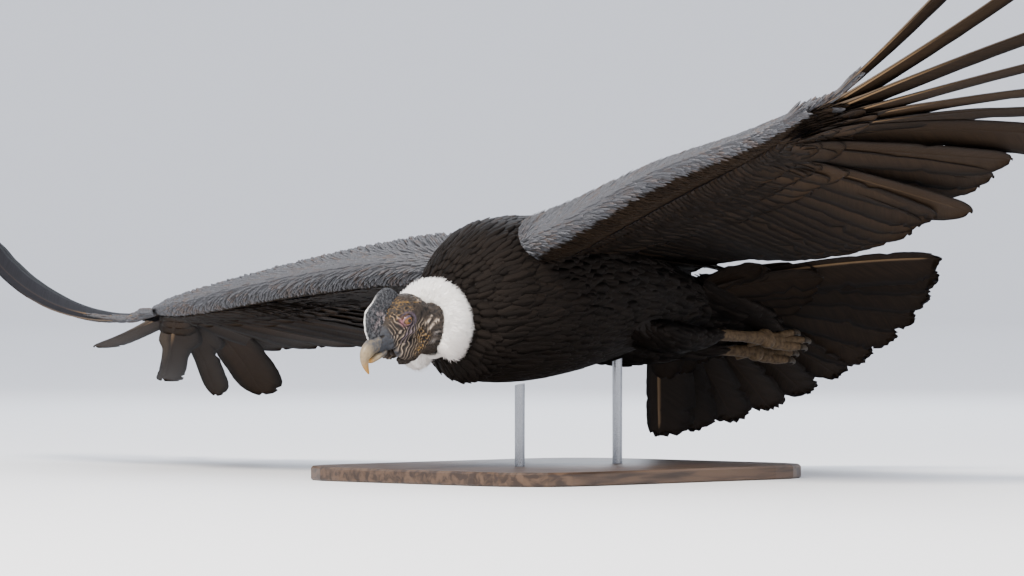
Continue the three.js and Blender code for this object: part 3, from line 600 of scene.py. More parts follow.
def wingLoft(wing, steps=46, around=30, inset=3.0):
    us = np.linspace(0, 1, steps)
    qs = np.concatenate([np.linspace(0, 1, around // 2), np.linspace(-1, 0, around // 2 + 1)[:-1]])
    grid = wing.surface(*(a.ravel() for a in np.meshgrid(us, qs, indexing="ij")), inset)
    ends = np.array([grid[: len(qs)].mean(0), grid[-len(qs):].mean(0)])
    return inWorld(birdFrame, np.vstack([grid, ends])), cappedFaces(steps, len(qs))


legPlan = {
    "left": {
        "thigh": [(64, 60, -58, 30, 24), (62, 120, -68, 42, 30), (58, 190, -72, 37, 28),
                  (52, 250, -70, 25, 21), (47, 308, -60, 14, 13)],
        "shank": [(47, 303, -58, 11, 10), (46, 345, -58, 9.5, 9), (45, 390, -58, 9, 9),
                  (44, 430, -58, 12, 10)],
        "bakeStart": 0.52, "endLength": 2,
    },
    "right": {
        "thigh": [(-62, 60, -52, 30, 24), (-58, 120, -60, 42, 30), (-48, 190, -67, 37, 28),
                  (-36, 250, -70, 25, 21), (-21, 320, -66, 14, 13)],
        "shank": [(-20, 315, -66, 11, 10), (-14, 360, -67, 9.5, 9), (-9, 415, -68, 9, 9),
                  (-4, 452, -68, 12, 10)],
        "bakeStart": 0.76, "endLength": 60,
    },
}
coatDepth = {"body": 8.0, "thigh": 7.0, "wing": 3.0}  # feathers' roots under the solids' surface
bodySkinPlan = {"deeper": {"thigh": 1.5, "wing": 2.5}, "rumpDepth": 4.0, "voxel": 6.0}


def greyAndSheen(points):  # grey at points in the bird's frame on the top of the back: partly grey plumage and partly painted sheen
    back = smooth(0.55, 1.0, points[:, 2] / 120) * smooth(-250, -200, points[:, 1])
    back *= 1 - 0.8 * smooth(0, 180, points[:, 1])
    return np.clip(back, 0, 1) * 0.42


def makeBodySkin():
    s = bodySkinPlan
    parts = [
        bodyLoft(trunk, birdFrame, 60, 64, coatDepth["body"], (12, 8)),
        bodyLoft(rump, tailFrame, 24, 40, s["rumpDepth"]),
    ]
    for leg in legPlan.values():
        parts.append(limbLoft(leg["thigh"], birdFrame, 36, 32, coatDepth["thigh"] + s["deeper"]["thigh"], 8))
    for wing in wingFrames.values():
        parts.append(wingLoft(wing, inset=coatDepth["wing"] + s["deeper"]["wing"]))
    points, faces = joinedMesh(parts)
    material, tree, shader = newMaterial("bodySkin", {"Roughness": 0.85, "Specular IOR Level": 0.2})
    patches = patchesOf(tree, 30.0, 4.0, 0.8)
    dark = mixColour(tree, patches, (0.006, 0.0047, 0.004), (0.0115, 0.0085, 0.0067))
    # grey on the top of the back: partly grey plumage, partly painted sheen
    paint(tree, shader, mixColour(tree, attribute(tree, "grey"), dark, (0.03, 0.03, 0.033)))
    skin = makeMesh("bodySkin", points, faces, material)
    addRemesh(skin, s["voxel"])
    applyModifiers(skin)
    addValues(skin.data, {"grey": greyAndSheen(inFrame(birdFrame, vertexArray(skin)))})
    return settle(skin, "plumage", "torso", "thigh_left", "thigh_right")


bodySkin = makeBodySkin()
print("body skin", len(bodySkin.data.polygons))


# Feathers
featherSteps = {"crowdFrom": 0.8, "crowdShare": 0.42, "line": 48, "bendPower": 1.3}
outlines = {  # share of the full width along a feather, and where its tip starts to round
    "broad": ([0, 0.1, 0.28, 0.6, 0.86, 1], [0.2, 0.5, 0.84, 0.97, 0.96, 0.9], 0.86),
    "covert": ([0, 0.3, 0.6, 1], [0.5, 0.9, 1, 0.85], 0.72),
    "tail": ([0, 0.12, 0.4, 0.8, 1], [0.24, 0.6, 0.9, 1, 0.92], 0.88),
    "slim": ([0, 0.1, 0.3, 0.5, 0.7, 0.88, 1], [0.2, 0.25, 0.48, 0.62, 0.6, 0.56, 0.5], 0.86),
}


class FeatherPile:  # gathers feathers into one mesh
    keys = ("edge", "tip", "tint", "grey", "white", "shaft", "under", "warm")

    def __init__(self):
        self.points, self.faces, self.vane, self.bake, self.count = [], [], [], [], 0
        self.values = {key: [] for key in self.keys}

    def add(self, points, faces, vane, bake, **values):
        self.points.append(points)
        self.faces += [tuple(i + self.count for i in face) for face in faces]
        self.vane.append(vane)
        self.bake.append(bake)
        for key in self.keys:
            value = np.asarray(values.get(key, 0.0), float)
            self.values[key].append(np.broadcast_to(value, (len(points),)))
        self.count += len(points)

    def build(self, name, material):
        values = {key: np.concatenate(parts) for key, parts in self.values.items()}
        maps = {"OFBake": np.vstack(self.bake), "vane": np.vstack(self.vane)}
        return makeMesh(name, np.vstack(self.points), self.faces, material, values, maps)


def rowPlaces(rows):  # rows along a feather, crowded towards its tip
    crowd = int(rows * featherSteps["crowdShare"])
    start = featherSteps["crowdFrom"]
    body = np.linspace(0, start, rows - crowd, endpoint=False)
    tip = np.sin(np.linspace(0, math.pi / 2, crowd + 1)[:-1])
    return np.concatenate([body, start + (1 - start) * tip])


def vaneLine(f, t):  # the line of a feather and its direction at t
    steps = featherSteps["line"]
    fine = np.linspace(0, 1, steps + 1)
    middle = (fine[1:] + fine[:-1]) / 2

    def direction(at):
        return pointing(f["side"], f["heading"], between(f["rise"], at ** featherSteps["bendPower"]))

    line = np.vstack([[0, 0, 0], np.cumsum(direction(middle), 0) / steps]) * f["length"] + f["root"]
    return np.stack([np.interp(t, fine, line[:, k]) for k in range(3)], -1), direction(t)


def vaneAxes(f, along):  # level across a feather towards its front edge, and up from it
    across = unit(np.stack([along[:, 1], -along[:, 0], 0 * along[:, 0]], -1) * f["side"])
    return across, np.cross(across, along) * f["side"]


# Points round a feather's section: the upper face first, then back along the under one
crossTop = np.array([1, 0.8, 0.5, 0.2, 0.0, 0.0, 0.0, -0.2, -0.5, -0.8, -1])
shaftTop = np.array([0, 0, 0, 0, 1, 0, -1, 0, 0, 0, 0])
crossAll = np.concatenate([crossTop, crossTop[-2:0:-1]])
shaftAll = np.concatenate([shaftTop, shaftTop[-2:0:-1]])
belowAll = np.concatenate([np.zeros(len(crossTop)), np.ones(len(crossTop) - 2)])
belowAll[[0, len(crossTop) - 1]] = 0.5
onShaft = (crossAll == 0).astype(float)
vaneShape = {  # what a feather has unless it says otherwise
    "notch": None, "tipStart": None, "thick": 1.6, "camber": 0.05, "wave": 0.8, "ridge": 0.8,
    "shaftFade": (0.9, 1), "white": 0.0, "whiteEnd": (0.9, 0.97), "buff": 0.0,
}
bakePatch = 0.003  # how much of the bake map one feather takes


def vaneWidths(f, t):  # the full width, and the parts before and behind the shaft
    rows = len(t)
    places, shares, rounding = outlines[f["outline"]]
    notch, front, ragged = f["notch"], f["front"], f["ragged"]
    if notch:
        places = [0, notch * 0.5, notch - 0.02, notch + 0.07, 0.88, 1]
        shares = [0.3, 0.8, 0.92, 0.62, 0.58, 0.5]
    wide = hermite(places, shares, t) * f["width"]
    wide *= np.sqrt(np.clip(1 - clipped(f["tipStart"] or rounding, 1, t) ** 2.3, 0.0, 1))
    leadWide = wide * front * (1 - ragged * 0.6 * randoms(rows))
    trailWide = wide * (1 - front) * (1 - ragged * randoms(rows))
    for _ in range(f["notches"]):  # barbs that have come apart at the edge
        k = int(rows * (0.35 + 0.6 * rng.random()))
        deep = 1 - (0.06 + 0.16 * rng.random())
        half = trailWide if rng.random() < 0.7 else leadWide
        half[k] *= deep
    return wide, leadWide[:, None], trailWide[:, None]


def vaneLift(f, t, shaftHalf):  # how far the points of each section are above its middle
    below = belowAll > 0.5
    thick = f["thick"] * (1 - 0.45 * t)[:, None]
    ridge = np.where(shaftAll == 0, 1.0, 0.25) * onShaft
    lift = np.where(below, -0.5, 0.5) * thick * (1 - crossAll**4) * (np.abs(crossAll) < 1)
    lift = lift + np.where(below, -1.0, 0.45) * ridge * shaftHalf * f["ridge"]
    lift = lift - f["camber"] * f["width"] * crossAll**2
    phase = rng.random() * 6
    return lift + f["wave"] * np.sin(phase + t * 9)[:, None] * np.abs(crossAll) ** 2


def addVane(pile, settings, matrix, rows):
    f = {**vaneShape, **settings}
    t = rowPlaces(rows)
    ends = vaneLine(f, np.array([0.0, 1.0]))[0]
    line, along = vaneLine(f, t)
    lead, high = spun(*vaneAxes(f, along), math.radians(f["roll"]))
    wide, leadWide, trailWide = vaneWidths(f, t)
    shaftHalf = np.minimum(f["shaft"] * (1 - 0.85 * t), 0.12 * wide)[:, None]
    offset = np.where(crossAll > 0, crossAll * leadWide, crossAll * trailWide) + shaftAll * shaftHalf
    lift = vaneLift(f, t, shaftHalf)
    top = len(crossTop)
    ripple = f["wear"] * (rng.random((rows, len(crossAll))) - 0.75)
    ripple[:, top:] = ripple[:, top - 2:0:-1]
    slide = ripple * smooth(0.9, 1.0, t)[:, None]
    grid = line[:, None] + lead[:, None] * offset[..., None] + high[:, None] * lift[..., None]
    grid = grid + along[:, None] * slide[..., None]
    points = inWorld(matrix, np.vstack([grid.reshape(-1, 3), ends]))
    tt = np.repeat(t, len(crossAll))
    cross, under = np.tile(crossAll, rows), np.tile(belowAll, rows)
    vane = np.stack([offset.ravel(), tt * f["length"]], -1)
    u, v = f["bake"]
    bake = np.stack([u + bakePatch * 0.5 * cross, v + bakePatch * tt], -1)
    shaft = onShaft * (f["shaftTone"] * (1 - 0.5 * smooth(*f["shaftFade"], t)))[:, None]
    buff = f["buff"] * (cross > 0.25) * (under > 0.4) * (1 - smooth(0.35, 0.7, tt))
    outer = (cross >= 0) * (1 - under * 2).clip(0, 1)
    white = f["white"] * outer * smooth(0.12, 0.2, tt) * (1 - smooth(*f["whiteEnd"], tt))

    def capped(values):
        return np.concatenate([values, [0, 0]])

    pile.add(
        points, cappedFaces(rows, len(crossAll)), np.vstack([vane, [[0, 0], [0, f["length"]]]]),
        np.vstack([bake, [[u, v], [u, v + bakePatch]]]),
        edge=capped(np.abs(cross)), tip=np.concatenate([tt, [0, 1]]), tint=f["tint"],
        grey=capped(buff), white=capped(white), shaft=capped(shaft.ravel()), under=capped(under),
    )


cloudRows = np.array([0, 0.2, 0.45, 0.7, 0.88, 0.97])
cloudWide = np.array([0.35, 0.85, 1.0, 0.92, 0.62, 0.3])
cloudCross = np.array([1, 0, -1, 0])
cloudHigh = np.array([0, 1, 0, -1])
cloudRun = np.concatenate([np.repeat(cloudRows, 4), [0, 1]])  # all points of one feather along it
cloudShape = {"yaw": 9, "ragged": 0.12, "thick": 0.8, "bow": 0.05, "warm": 0.0}


def addCloud(pile, roots, normals, lies, bake, settings):  # many small feathers at once, of arrays or numbers
    s = {**cloudShape, **settings}
    n = len(roots)
    size = {key: np.broadcast_to(np.asarray(s[key], float), (n,)) for key in
            ("length", "width", "lift", "curl", "sink", "tint", "warm")}
    yaw, roll = (randoms(n, -1, 1)[:, None] * math.radians(s[key]) for key in ("yaw", "roll"))
    normals = unit(normals)
    lies = unit(lies - normals * (lies * normals).sum(-1, keepdims=True))
    lies, sides = spun(lies, np.cross(lies, normals), yaw)
    sides, normals = spun(sides, normals, roll)
    length, width, lift, curl, sink = (
        size[key][:, None, None] for key in ("length", "width", "lift", "curl", "sink"))
    t = cloudRows[:, None]
    across = cloudCross * cloudWide[:, None] * width / 2
    across = across * (1 - s["ragged"] * rng.random((n, len(cloudRows), len(cloudCross))))
    run = length * t + across * 0
    thick = s["thick"] * (1 - 0.6 * t)
    bow = s["bow"] * np.abs(cloudCross) * width * cloudWide[:, None]
    rise = length * (lift * t - curl * t**2) - sink + cloudHigh * thick - bow

    def at(run, across, rise):
        run, across, rise = (a.reshape(n, -1)[..., None] for a in (run, across, rise))
        return roots[:, None] + lies[:, None] * run + sides[:, None] * across + normals[:, None] * rise

    starts = at(length * 0, length * 0, -sink)
    tips = at(length, length * 0, length * (lift - curl) - sink)
    points = np.concatenate([at(run, across, rise), starts, tips], 1)
    per = points.shape[1]
    faces = copiedFaces(cappedFaces(len(cloudRows), len(cloudCross)), n, per)
    cross = np.concatenate([np.tile(cloudCross, len(cloudRows)), [0, 0]])
    below = np.concatenate([np.tile([0.5, 0, 0.5, 1], len(cloudRows)), [0.5, 0.5]])
    offset = np.concatenate([across.reshape(n, -1), np.zeros((n, 2))], 1)
    vane = np.stack([offset, cloudRun * size["length"][:, None]], -1)
    spot = bake[:, None] + bakePatch * np.stack([cross * 0.5, cloudRun], -1)
    grey = np.asarray(s["grey"], float)  # one for each feather, or one for each of its points
    if grey.ndim < 2:
        grey = np.repeat(np.broadcast_to(grey, (n,)), per)
    pile.add(
        inWorld(s["matrix"], points.reshape(-1, 3)), faces, vane.reshape(-1, 2), spot.reshape(-1, 2),
        edge=np.tile(np.abs(cross), n), tip=np.tile(cloudRun, n), tint=np.repeat(size["tint"], per),
        grey=grey.ravel(), warm=np.repeat(size["warm"], per), under=np.tile(below, n),
    )


# Plumage materials
plumage = {
    # flightWarm and flightRim: warm brown middles and dark rims underneath, partly own colour, partly painted
    # light through and onto the vanes
    "flightDark": (0.0085, 0.0056, 0.0038), "flightWarm": (0.034, 0.0205, 0.0115),
    "flightRim": (0.006, 0.0043, 0.0034),
    "shaft": (0.20, 0.125, 0.065), "silver": (0.62, 0.62, 0.63), "topDark": (0.010, 0.010, 0.012),
    "coatDark": (0.0060, 0.0047, 0.0040), "coatWarm": (0.0115, 0.0085, 0.0067),
    "coatRim": (0.016, 0.0125, 0.0105),
    # wingDark and wingWarm: the wing coat's warm brown underside, partly own colour and partly painted warm
    # light
    "wingDark": (0.0095, 0.0064, 0.0044), "wingWarm": (0.026, 0.0165, 0.0100),
    "greyDark": (0.042, 0.044, 0.050), "greyPale": (0.155, 0.157, 0.168), "greyBrown": (0.165, 0.132, 0.118),
    "buff": (0.30, 0.22, 0.15),
}


def flightMaterial():
    material, tree, shader = newMaterial("flightFeathers", {"Roughness": 0.7, "Specular IOR Level": 0.05})
    p = plumage
    lines = useGroup(tree, barbs, {"Spacing": 2.4, "Slant": 1.1, "Breaks": 1.6})
    tint, edge, under, shaft, white = (
        attribute(tree, key) for key in ("tint", "edge", "under", "shaft", "white"))
    # underside: warm brown middles and near-black rims, partly the feathers' own colour and partly painted
    # warm light shining through the vanes
    warm = plus(tree, times(tree, tint, 0.6), times(tree, lines["Streaks"], 0.5))
    below = mixColour(tree, times(tree, warm, 1.0, True), p["flightDark"], p["flightWarm"])
    rim = times(tree, ramp(tree, edge, 0.45, 0.95), 0.75)
    below = mixColour(tree, rim, below, p["flightRim"])
    above = mixColour(tree, lines["Streaks"], p["topDark"], [c * 1.7 for c in p["topDark"]])
    isUnder = ramp(tree, under, 0.3, 0.6)
    colour = mixColour(tree, isUnder, above, below)
    streaky = times(tree, white, ramp(tree, lines["Streaks"], 0.2, 0.55, 0.75, 1.0))
    colour = mixColour(tree, streaky, colour, p["silver"])
    colour = mixColour(tree, attribute(tree, "grey"), colour, p["buff"])
    colour = mixColour(tree, times(tree, ramp(tree, shaft, 0.5, 1.0), 0.9), colour, p["shaft"])
    paint(tree, shader, colour)
    addBump(tree, shader, lines["Lines"], 0.35, 0.0006)
    return material


def coatMaterial():
    material, tree, shader = newMaterial("bodyFeathers", {"Roughness": 0.75, "Specular IOR Level": 0.05})
    p = plumage
    lines = useGroup(tree, barbs, {"Spacing": 1.3, "Slant": 1.4, "Breaks": 2.0})
    tint, tip, edge, grey = (attribute(tree, key) for key in ("tint", "tip", "edge", "grey"))
    warm = plus(tree, times(tree, tint, 0.7), times(tree, lines["Streaks"], 0.3))
    black = mixColour(tree, warm, p["coatDark"], p["coatWarm"])
    rim = math2(tree, "MAXIMUM", ramp(tree, edge, 0.55, 1.0), ramp(tree, tip, 0.72, 1.0))
    black = mixColour(tree, times(tree, rim, 0.15), black, p["coatRim"])
    # warm brown under the wings, as under the long feathers: partly own colour, partly painted warm light
    brown = mixColour(tree, warm, p["wingDark"], p["wingWarm"])
    black = mixColour(tree, attribute(tree, "warm"), black, brown)
    pale = mixColour(tree, ramp(tree, tint, 0.55, 0.95), p["greyPale"], p["greyBrown"])
    patch = plus(tree, times(tree, rim, 0.35), times(tree, lines["Streaks"], 0.75))
    ash = mixColour(tree, times(tree, patch, 1.0, True), p["greyDark"], pale)
    # grey: the wings' grey band, and on the back partly painted sheen
    paint(tree, shader, mixColour(tree, grey, black, ash))
    addBump(tree, shader, lines["Lines"], 0.15, 0.0003)
    return material


flightLook = flightMaterial()
coatLook = coatMaterial()


def innerFeathers(wing, pose):
    plan = innerPlan
    feathers = []
    for i in range(plan["count"]):
        u = plan["from"] + (plan["to"] - plan["from"]) * i / (plan["count"] - 1)
        field = [float(hermite(plan["u"], plan[key], u)) for key in ("heading", "length", "width")]
        rise = float(wing.rise(u))
        feathers.append({
            "u": u, "root": wing.core(np.array([u]), 0.58, 0.02)[0], "heading": field[0],
            "rise": (rise, rise + plan["sag"]), "length": field[1] * (1 + 0.014 * math.sin(i * 2.4)),
            "width": field[2], "side": wing.side, "outline": "broad", "roll": pose["roll"], "front": 0.36,
            "notches": 2, "ragged": 0.05, "white": 1.0, "tint": rng.random(), "wear": 2.5, "tipStart": 0.87,
            "shaft": 1.6, "reach": plan["reach"], "shaftTone": 0.62,
        })
    return feathers


def outerFeathers(wing, pose):
    feathers = []
    first, last = 0.025, 0.99  # past the wrist, and near the tip
    for i, (length, width, notch, reach) in enumerate(outerPlan):
        u = wristAt + first + (last - wristAt - first) * i / (len(outerPlan) - 1)
        heading, low, high, roll = pose["outer"][i]
        slim = notch == "slim"
        feathers.append({
            "u": u, "root": wing.core(np.array([u]), 0.45, 0.02)[0], "heading": heading, "rise": (low, high),
            "length": length, "width": width, "side": wing.side, "notch": None if slim else notch,
            "outline": "slim" if slim else "broad", "reach": reach,
            "roll": roll, "front": 0.30 if notch else 0.38, "notches": 3, "ragged": 0.05, "wear": 2.5,
            "white": max(0.0, 0.9 - 0.2 * i), "whiteEnd": (0.45, 0.7), "tint": rng.random(), "shaft": 2.3,
            "shaftTone": 0.62 + 0.06 * i, "shaftFade": (0.15, 0.45), "buff": max(0.0, 0.14 * (i - 4)),
        })
    return feathers


def overFeather(wing, f, tier):  # a covert from the wing's skin to just over a flight feather
    hand = f["u"] > wristAt
    reach = tier["reach"] * (f["reach"] / innerPlan["reach"] if hand else 1.0)
    root = wing.surface(np.array([f["u"]]), np.array([tier["q"]]), 1.5)[0]
    spot, _ = vaneLine(f, np.array([reach]))
    _, _, up, _ = wing.axes(f["u"])
    run = spot[0] + up[0] * (tier["lift"] * (0.6 if hand else 1)) - root
    length = float(np.linalg.norm(run))
    x, y, z = run / length
    rise, bend = math.degrees(math.asin(z)), tier["bend"]
    return {
        **f, "root": root, "heading": math.degrees(math.atan2(y, wing.side * x)),
        "rise": (rise - bend * 0.6, rise + bend), "length": length, "notch": None,
        "width": f["width"] * tier["width"], "outline": "covert", "front": 0.42, "thick": 1.2, "shaft": 1.1,
        "notches": 1, "wear": 3.0, "tint": rng.random(), "shaftTone": 0.5, "buff": 0.0,
        "white": 0.0 if hand else tier["white"], "whiteEnd": tier.get("whiteEnd", vaneShape["whiteEnd"]),
    }


covertTiers = [  # rows over and under the long feathers, from the skin at q
    {"q": 0.80, "reach": 0.44, "lift": 5.0, "width": 0.86, "white": 1.0, "bend": 1.5,
     "whiteEnd": (0.8, 0.93)},
    {"q": 0.66, "reach": 0.21, "lift": 9.0, "width": 0.78, "white": 0.25, "bend": 2.0},
    {"q": -0.80, "reach": 0.37, "lift": -5.0, "width": 0.80, "white": 0.0, "bend": -1.0},
    {"q": -0.72, "reach": 0.24, "lift": -8.0, "width": 0.66, "white": 0.0, "bend": -1.5, "between": 0.5},
    {"q": -0.62, "reach": 0.13, "lift": -10.5, "width": 0.60, "white": 0.0, "bend": -2.0, "between": 0.25},
]


def betweenFeathers(flights, share):  # places between neighbours, for rows of smaller feathers
    mixed = []
    for a, b in zip(flights, flights[1:]):
        f = dict(a)
        for key in ("u", "heading", "length", "width", "roll", "reach", "root"):
            f[key] = between((a[key], b[key]), share)
        f["rise"] = tuple(between(pair, share) for pair in zip(a["rise"], b["rise"]))
        mixed.append(f)
    return mixed


def makeWing(name):
    wing, pose = wingFrames[name], wingPoses[name]
    flights = innerFeathers(wing, pose) + outerFeathers(wing, pose)
    pile, coverts = FeatherPile(), FeatherPile()
    for i, f in enumerate(flights):
        addVane(pile, {**f, "bake": ((i + 0.5) / len(flights), 0.02)}, birdFrame, rows=34)
    piece = pile.build(f"flightFeathers_{name}", flightLook)
    settle(piece, "flight", f"wing_{name}_arm", f"wing_{name}_hand")
    for level, tier in enumerate(covertTiers):
        row = flights
        if "between" in tier:
            row = betweenFeathers(flights, tier["between"]) + betweenFeathers(flights, tier["between"] + 0.5)
        for f in row:
            covert = {**overFeather(wing, f, tier), "bake": (0.05 + 0.9 * f["u"], 0.1 + 0.16 * level)}
            addVane(coverts, covert, birdFrame, rows=12)
    settle(coverts.build(f"coverts_{name}", flightLook), "flight")
    makeWingCoat(name, wing)
    print("wing", name, pile.count, coverts.count)


wingCoat = {
    "step": (4.5, 9.0), "reach": 0.80, "length": (30, 58), "width": (4.8, 16), "outward": (1.5, 0.75),
    "cover": 0.62, "edgeLength": 1000, "deep": 235, "thick": 55, "steps": 200, "feather": {
        "lift": 0.04, "curl": 0.045, "sink": -0.6, "thick": 0.35, "yaw": 7, "roll": 3, "ragged": 0.05},
    "greyTo": {"left": 0.29, "right": 0.46},
}
handEdge = {  # reach along the first long feather and radius about it
    "left": (0.12, 4.5), "right": (0.27, 10.0), "count": 420, "start": 0.965,
    "length": (30, 44), "width": (5, 7),
}
# Distance over the wing's skin from its edge, by the root of the depth share
girthAt = np.linspace(0, 1, wingCoat["steps"] + 1)
girthRise = np.gradient(hermite(coreRound["q"], coreRound["h"], girthAt), girthAt) * wingCoat["thick"]
girthSteps = np.hypot(2 * girthAt * wingCoat["deep"], girthRise)[1:] / wingCoat["steps"]
girth = np.concatenate([[0], np.cumsum(girthSteps)])


def skinAxes(wing, u, q, face):  # places on the wing's skin, normals, backward, outward
    at = wing.surface(u, q, coatDepth["wing"])
    ahead = wing.surface(u, q + face * 0.02, coatDepth["wing"])
    beside = wing.surface(np.clip(u + 0.004, 0, 1), q, coatDepth["wing"])
    back, out = unit(ahead - at), unit(beside - at)
    return at, unit(np.cross(out, back)) * wing.side * face, back, out


def rowShift(count, row):  # numbers of the feathers in a row, shifted in every other row and a little uneven
    return np.arange(count) + 0.5 * (row % 2) + randoms(count, -0.3, 0.3)


def addWingRow(pile, name, wing, face, row, distance, share):
    s = wingCoat
    length, width = (between(s[key], share) for key in ("length", "width"))
    middle = float(np.interp(distance, girth, girthAt))
    count = int(s["edgeLength"] / (width * s["cover"]))
    u = np.clip(rowShift(count, row) / count, 0.002, 0.998)
    thin = hermite(wingCore["u"], wingCore["deep"], u) / s["deep"]
    q = face * np.clip(middle + randoms(count, -0.012, 0.012), 0.0, 0.9)
    away = np.abs(q)
    at, normal, back, out = skinAxes(wing, u, q, face)
    turn = smooth(0.0, 0.20, away)[:, None]
    flow = back * turn + out * between(s["outward"], smooth(0, 0.35, away)[:, None])
    edge = s["greyTo"][name] + 0.02 * noiseAt(np.stack([u * 40, 0 * u, 0 * u], -1), 1.0)
    edge = (edge + randoms(count, -0.025, 0.025))[:, None]
    long = length * thin**0.4 * randoms(count, 0.85, 1.15)
    backward = long * (turn / np.linalg.norm(flow, axis=1, keepdims=True))[:, 0]
    started = np.interp(away, girthAt, girth)[:, None]
    along = face * np.interp(started + backward[:, None] * cloudRun, girth, girthAt)
    grey = smooth(-edge - 0.02, -edge + 0.02, along) * (0.95 - 0.5 * smooth(0.25, 0.8, along))
    clumps = noiseAt(np.stack([u * 60 - 3 * away, q * 2.5, 0 * u], -1), 1.0, 5.0)
    tint = np.clip(0.5 + 0.75 * clumps + randoms(count, -0.25, 0.25), 0, 1)
    bake = np.stack([0.02 + 0.96 * u, 0.5 + 0.46 * q], -1)
    addCloud(pile, at, normal, unit(flow), bake, {
        **s["feather"], "length": long, "width": width * randoms(count, 0.85, 1.2), "tint": tint,
        # warm brown underneath: partly own colour, partly painted warm light
        "grey": grey, "warm": smooth(0.0, -0.2, q) * (0.35 + 0.65 * smooth(0.02, 0.2, u)),
        "matrix": birdFrame,
    })


def makeWingCoat(name, wing):
    total = float(np.interp(wingCoat["reach"], girthAt, girth))
    for face, part in ((1, "upper"), (-1, "under")):
        pile = FeatherPile()
        distance, row = (0.0 if face > 0 else wingCoat["step"][0]), 0
        while distance < total:
            share = distance / total
            addWingRow(pile, name, wing, face, row, distance, share)
            distance += between(wingCoat["step"], share)
            row += 1
        if face > 0:
            addHandEdge(pile, name, wing)
        print("wing coat", name, part, len(pile.faces))
        settle(pile.build(f"wingCoat_{name}_{part}", coatLook), "plumage")


def addHandEdge(pile, name, wing):  # grey feathers that run on along the first long feather
    f = outerFeathers(wing, wingPoses[name])[-1]
    reach, radius = handEdge[name]
    count = handEdge["count"]
    t = randoms(count, 0.0, reach)
    at, along = vaneLine(f, t)
    across, up = vaneAxes(f, along)
    normal, _ = spun(across, up, randoms(count, -1.6, 0.2)[:, None])
    start = wing.surface(np.array([handEdge["start"]]), np.array([0.0]), coatDepth["wing"])[0]
    share = smooth(0, 0.35, t / reach)[:, None]
    spot = start + (at - start) * share + normal * (radius * (1 - 0.75 * t / reach))[:, None] - up * 2.5
    bake = np.stack([0.02 + 0.9 * t / reach, 0.985 + 0 * t], -1)
    addCloud(pile, spot, normal, along, bake, {
        "length": randoms(count, *handEdge["length"]), "width": randoms(count, *handEdge["width"]),
        "lift": 0.0, "curl": 0.05, "sink": 0.8, "tint": randoms(count), "grey": 0.9,
        "matrix": birdFrame, "thick": 0.35, "roll": 3,
    })


for wingName in wingPoses:
    makeWing(wingName)

tailFan = {
    "feathers": 12, "spread": 45, "root": 60, "crown": 17, "length": 410, "graded": 0.08, "width": 84,
    "bend": (6, -7), "roll": 8, "sideCoverts": 6,
}
tailCovert = {"outline": "covert", "wear": 4, "thick": 1.2}


def makeTail():
    s = tailFan
    pile = FeatherPile()
    for i in range(s["feathers"]):
        across = 2 * i / (s["feathers"] - 1) - 1
        side = 1 if across > 0 else -1
        outermost = abs(across) > 0.9
        place = (i + 0.5) / s["feathers"]
        f = {
            "root": np.array([s["root"] * across, 0, (1 - abs(across)) * s["crown"]]),
            "heading": 90 - s["spread"] * abs(across), "rise": s["bend"],
            "length": s["length"] * (1 - s["graded"] * across**2), "width": s["width"], "side": side,
            "roll": s["roll"], "front": 0.45 - 0.2 * outermost, "outline": "tail", "notches": 5,
            "ragged": 0.06, "wear": 12.0, "tint": 0.3 * rng.random() - 0.3, "shaft": 2.0,
            "bake": (place, 0.02), "shaftTone": 0.85 if outermost else 0.56,
        }
        addVane(pile, f, tailFrame, rows=40)
        for lift in (8, -8):
            addVane(pile, {
                **f, **tailCovert, "root": f["root"] + np.array([0, 14, lift]),
                "length": 165 + 20 * rng.random(), "width": 62, "front": 0.45, "shaft": 1.0, "shaftTone": 0.5,
                "tint": 0.3 * rng.random() - 0.3, "bake": (place, 0.5 + 0.02 * lift),
            }, tailFrame, rows=14)
        for k in range(s["sideCoverts"] if outermost else 0):
            addVane(pile, {
                **f, **tailCovert, "root": np.array([side * (34 + 3 * k), -24 + 3 * k, 6 - 2 * k]),
                "heading": 58 - 7 * k, "length": 150 - 9 * k, "width": 54, "front": 0.5, "shaft": 0.8,
                "shaftTone": 0.2, "rise": (4, -3), "tint": -0.3, "bake": (place, 0.75 + 0.03 * k),
            }, tailFrame, rows=14)
    return settle(pile.build("tailFeathers", flightLook), "flight", "tail")


makeTail()
print("tail done")


# Body feathers
bodyCoat = {  # from the neck to the rump; the curves as shares of the way and values there
    "start": -280, "way": 640, "from": -276.0, "to": 350, "step": 10.0, "stepMore": 3, "crowd": 0.6,
    "length": ((0, 0.25, 1), (24, 46, 60)), "curl": ((0, 0.12, 0.3), (0.15, 0.09, 0.05)),
    "sink": ((0, 0.2), (-2.2, -0.6)), "width": ((0, 0.4, 1), (15, 21, 25)),
    "feather": {"lift": 0.05, "ragged": 0.06, "roll": 2, "thick": 0.5},
}
rumpCoat = {
    "from": -20, "to": 128, "step": 11.0, "count": 34, "length": 62, "width": 27,
    "feather": {"lift": 0.07, "curl": 0.06, "sink": 0.0, "grey": 0.0, "ragged": 0.08, "roll": 3},
}
thighCoat = {  # pairs are for the top and the bottom
    "from": 0.02, "to": 0.985, "step": 0.045, "count": (26, 16), "length": (46, 34), "width": (20, 15),
    "feather": {"lift": 0.05, "curl": 0.06, "grey": 0.0, "roll": 3, "thick": 0.5},
}


def rowAngles(count, row):
    return rowShift(count, row) * 2 * math.pi / count


def lap(angle):  # as a share of a turn
    return angle / (2 * math.pi) % 1


def trunkPlace(y, angle):
    return bodyPoint(trunk, y, angle, coatDepth["body"])


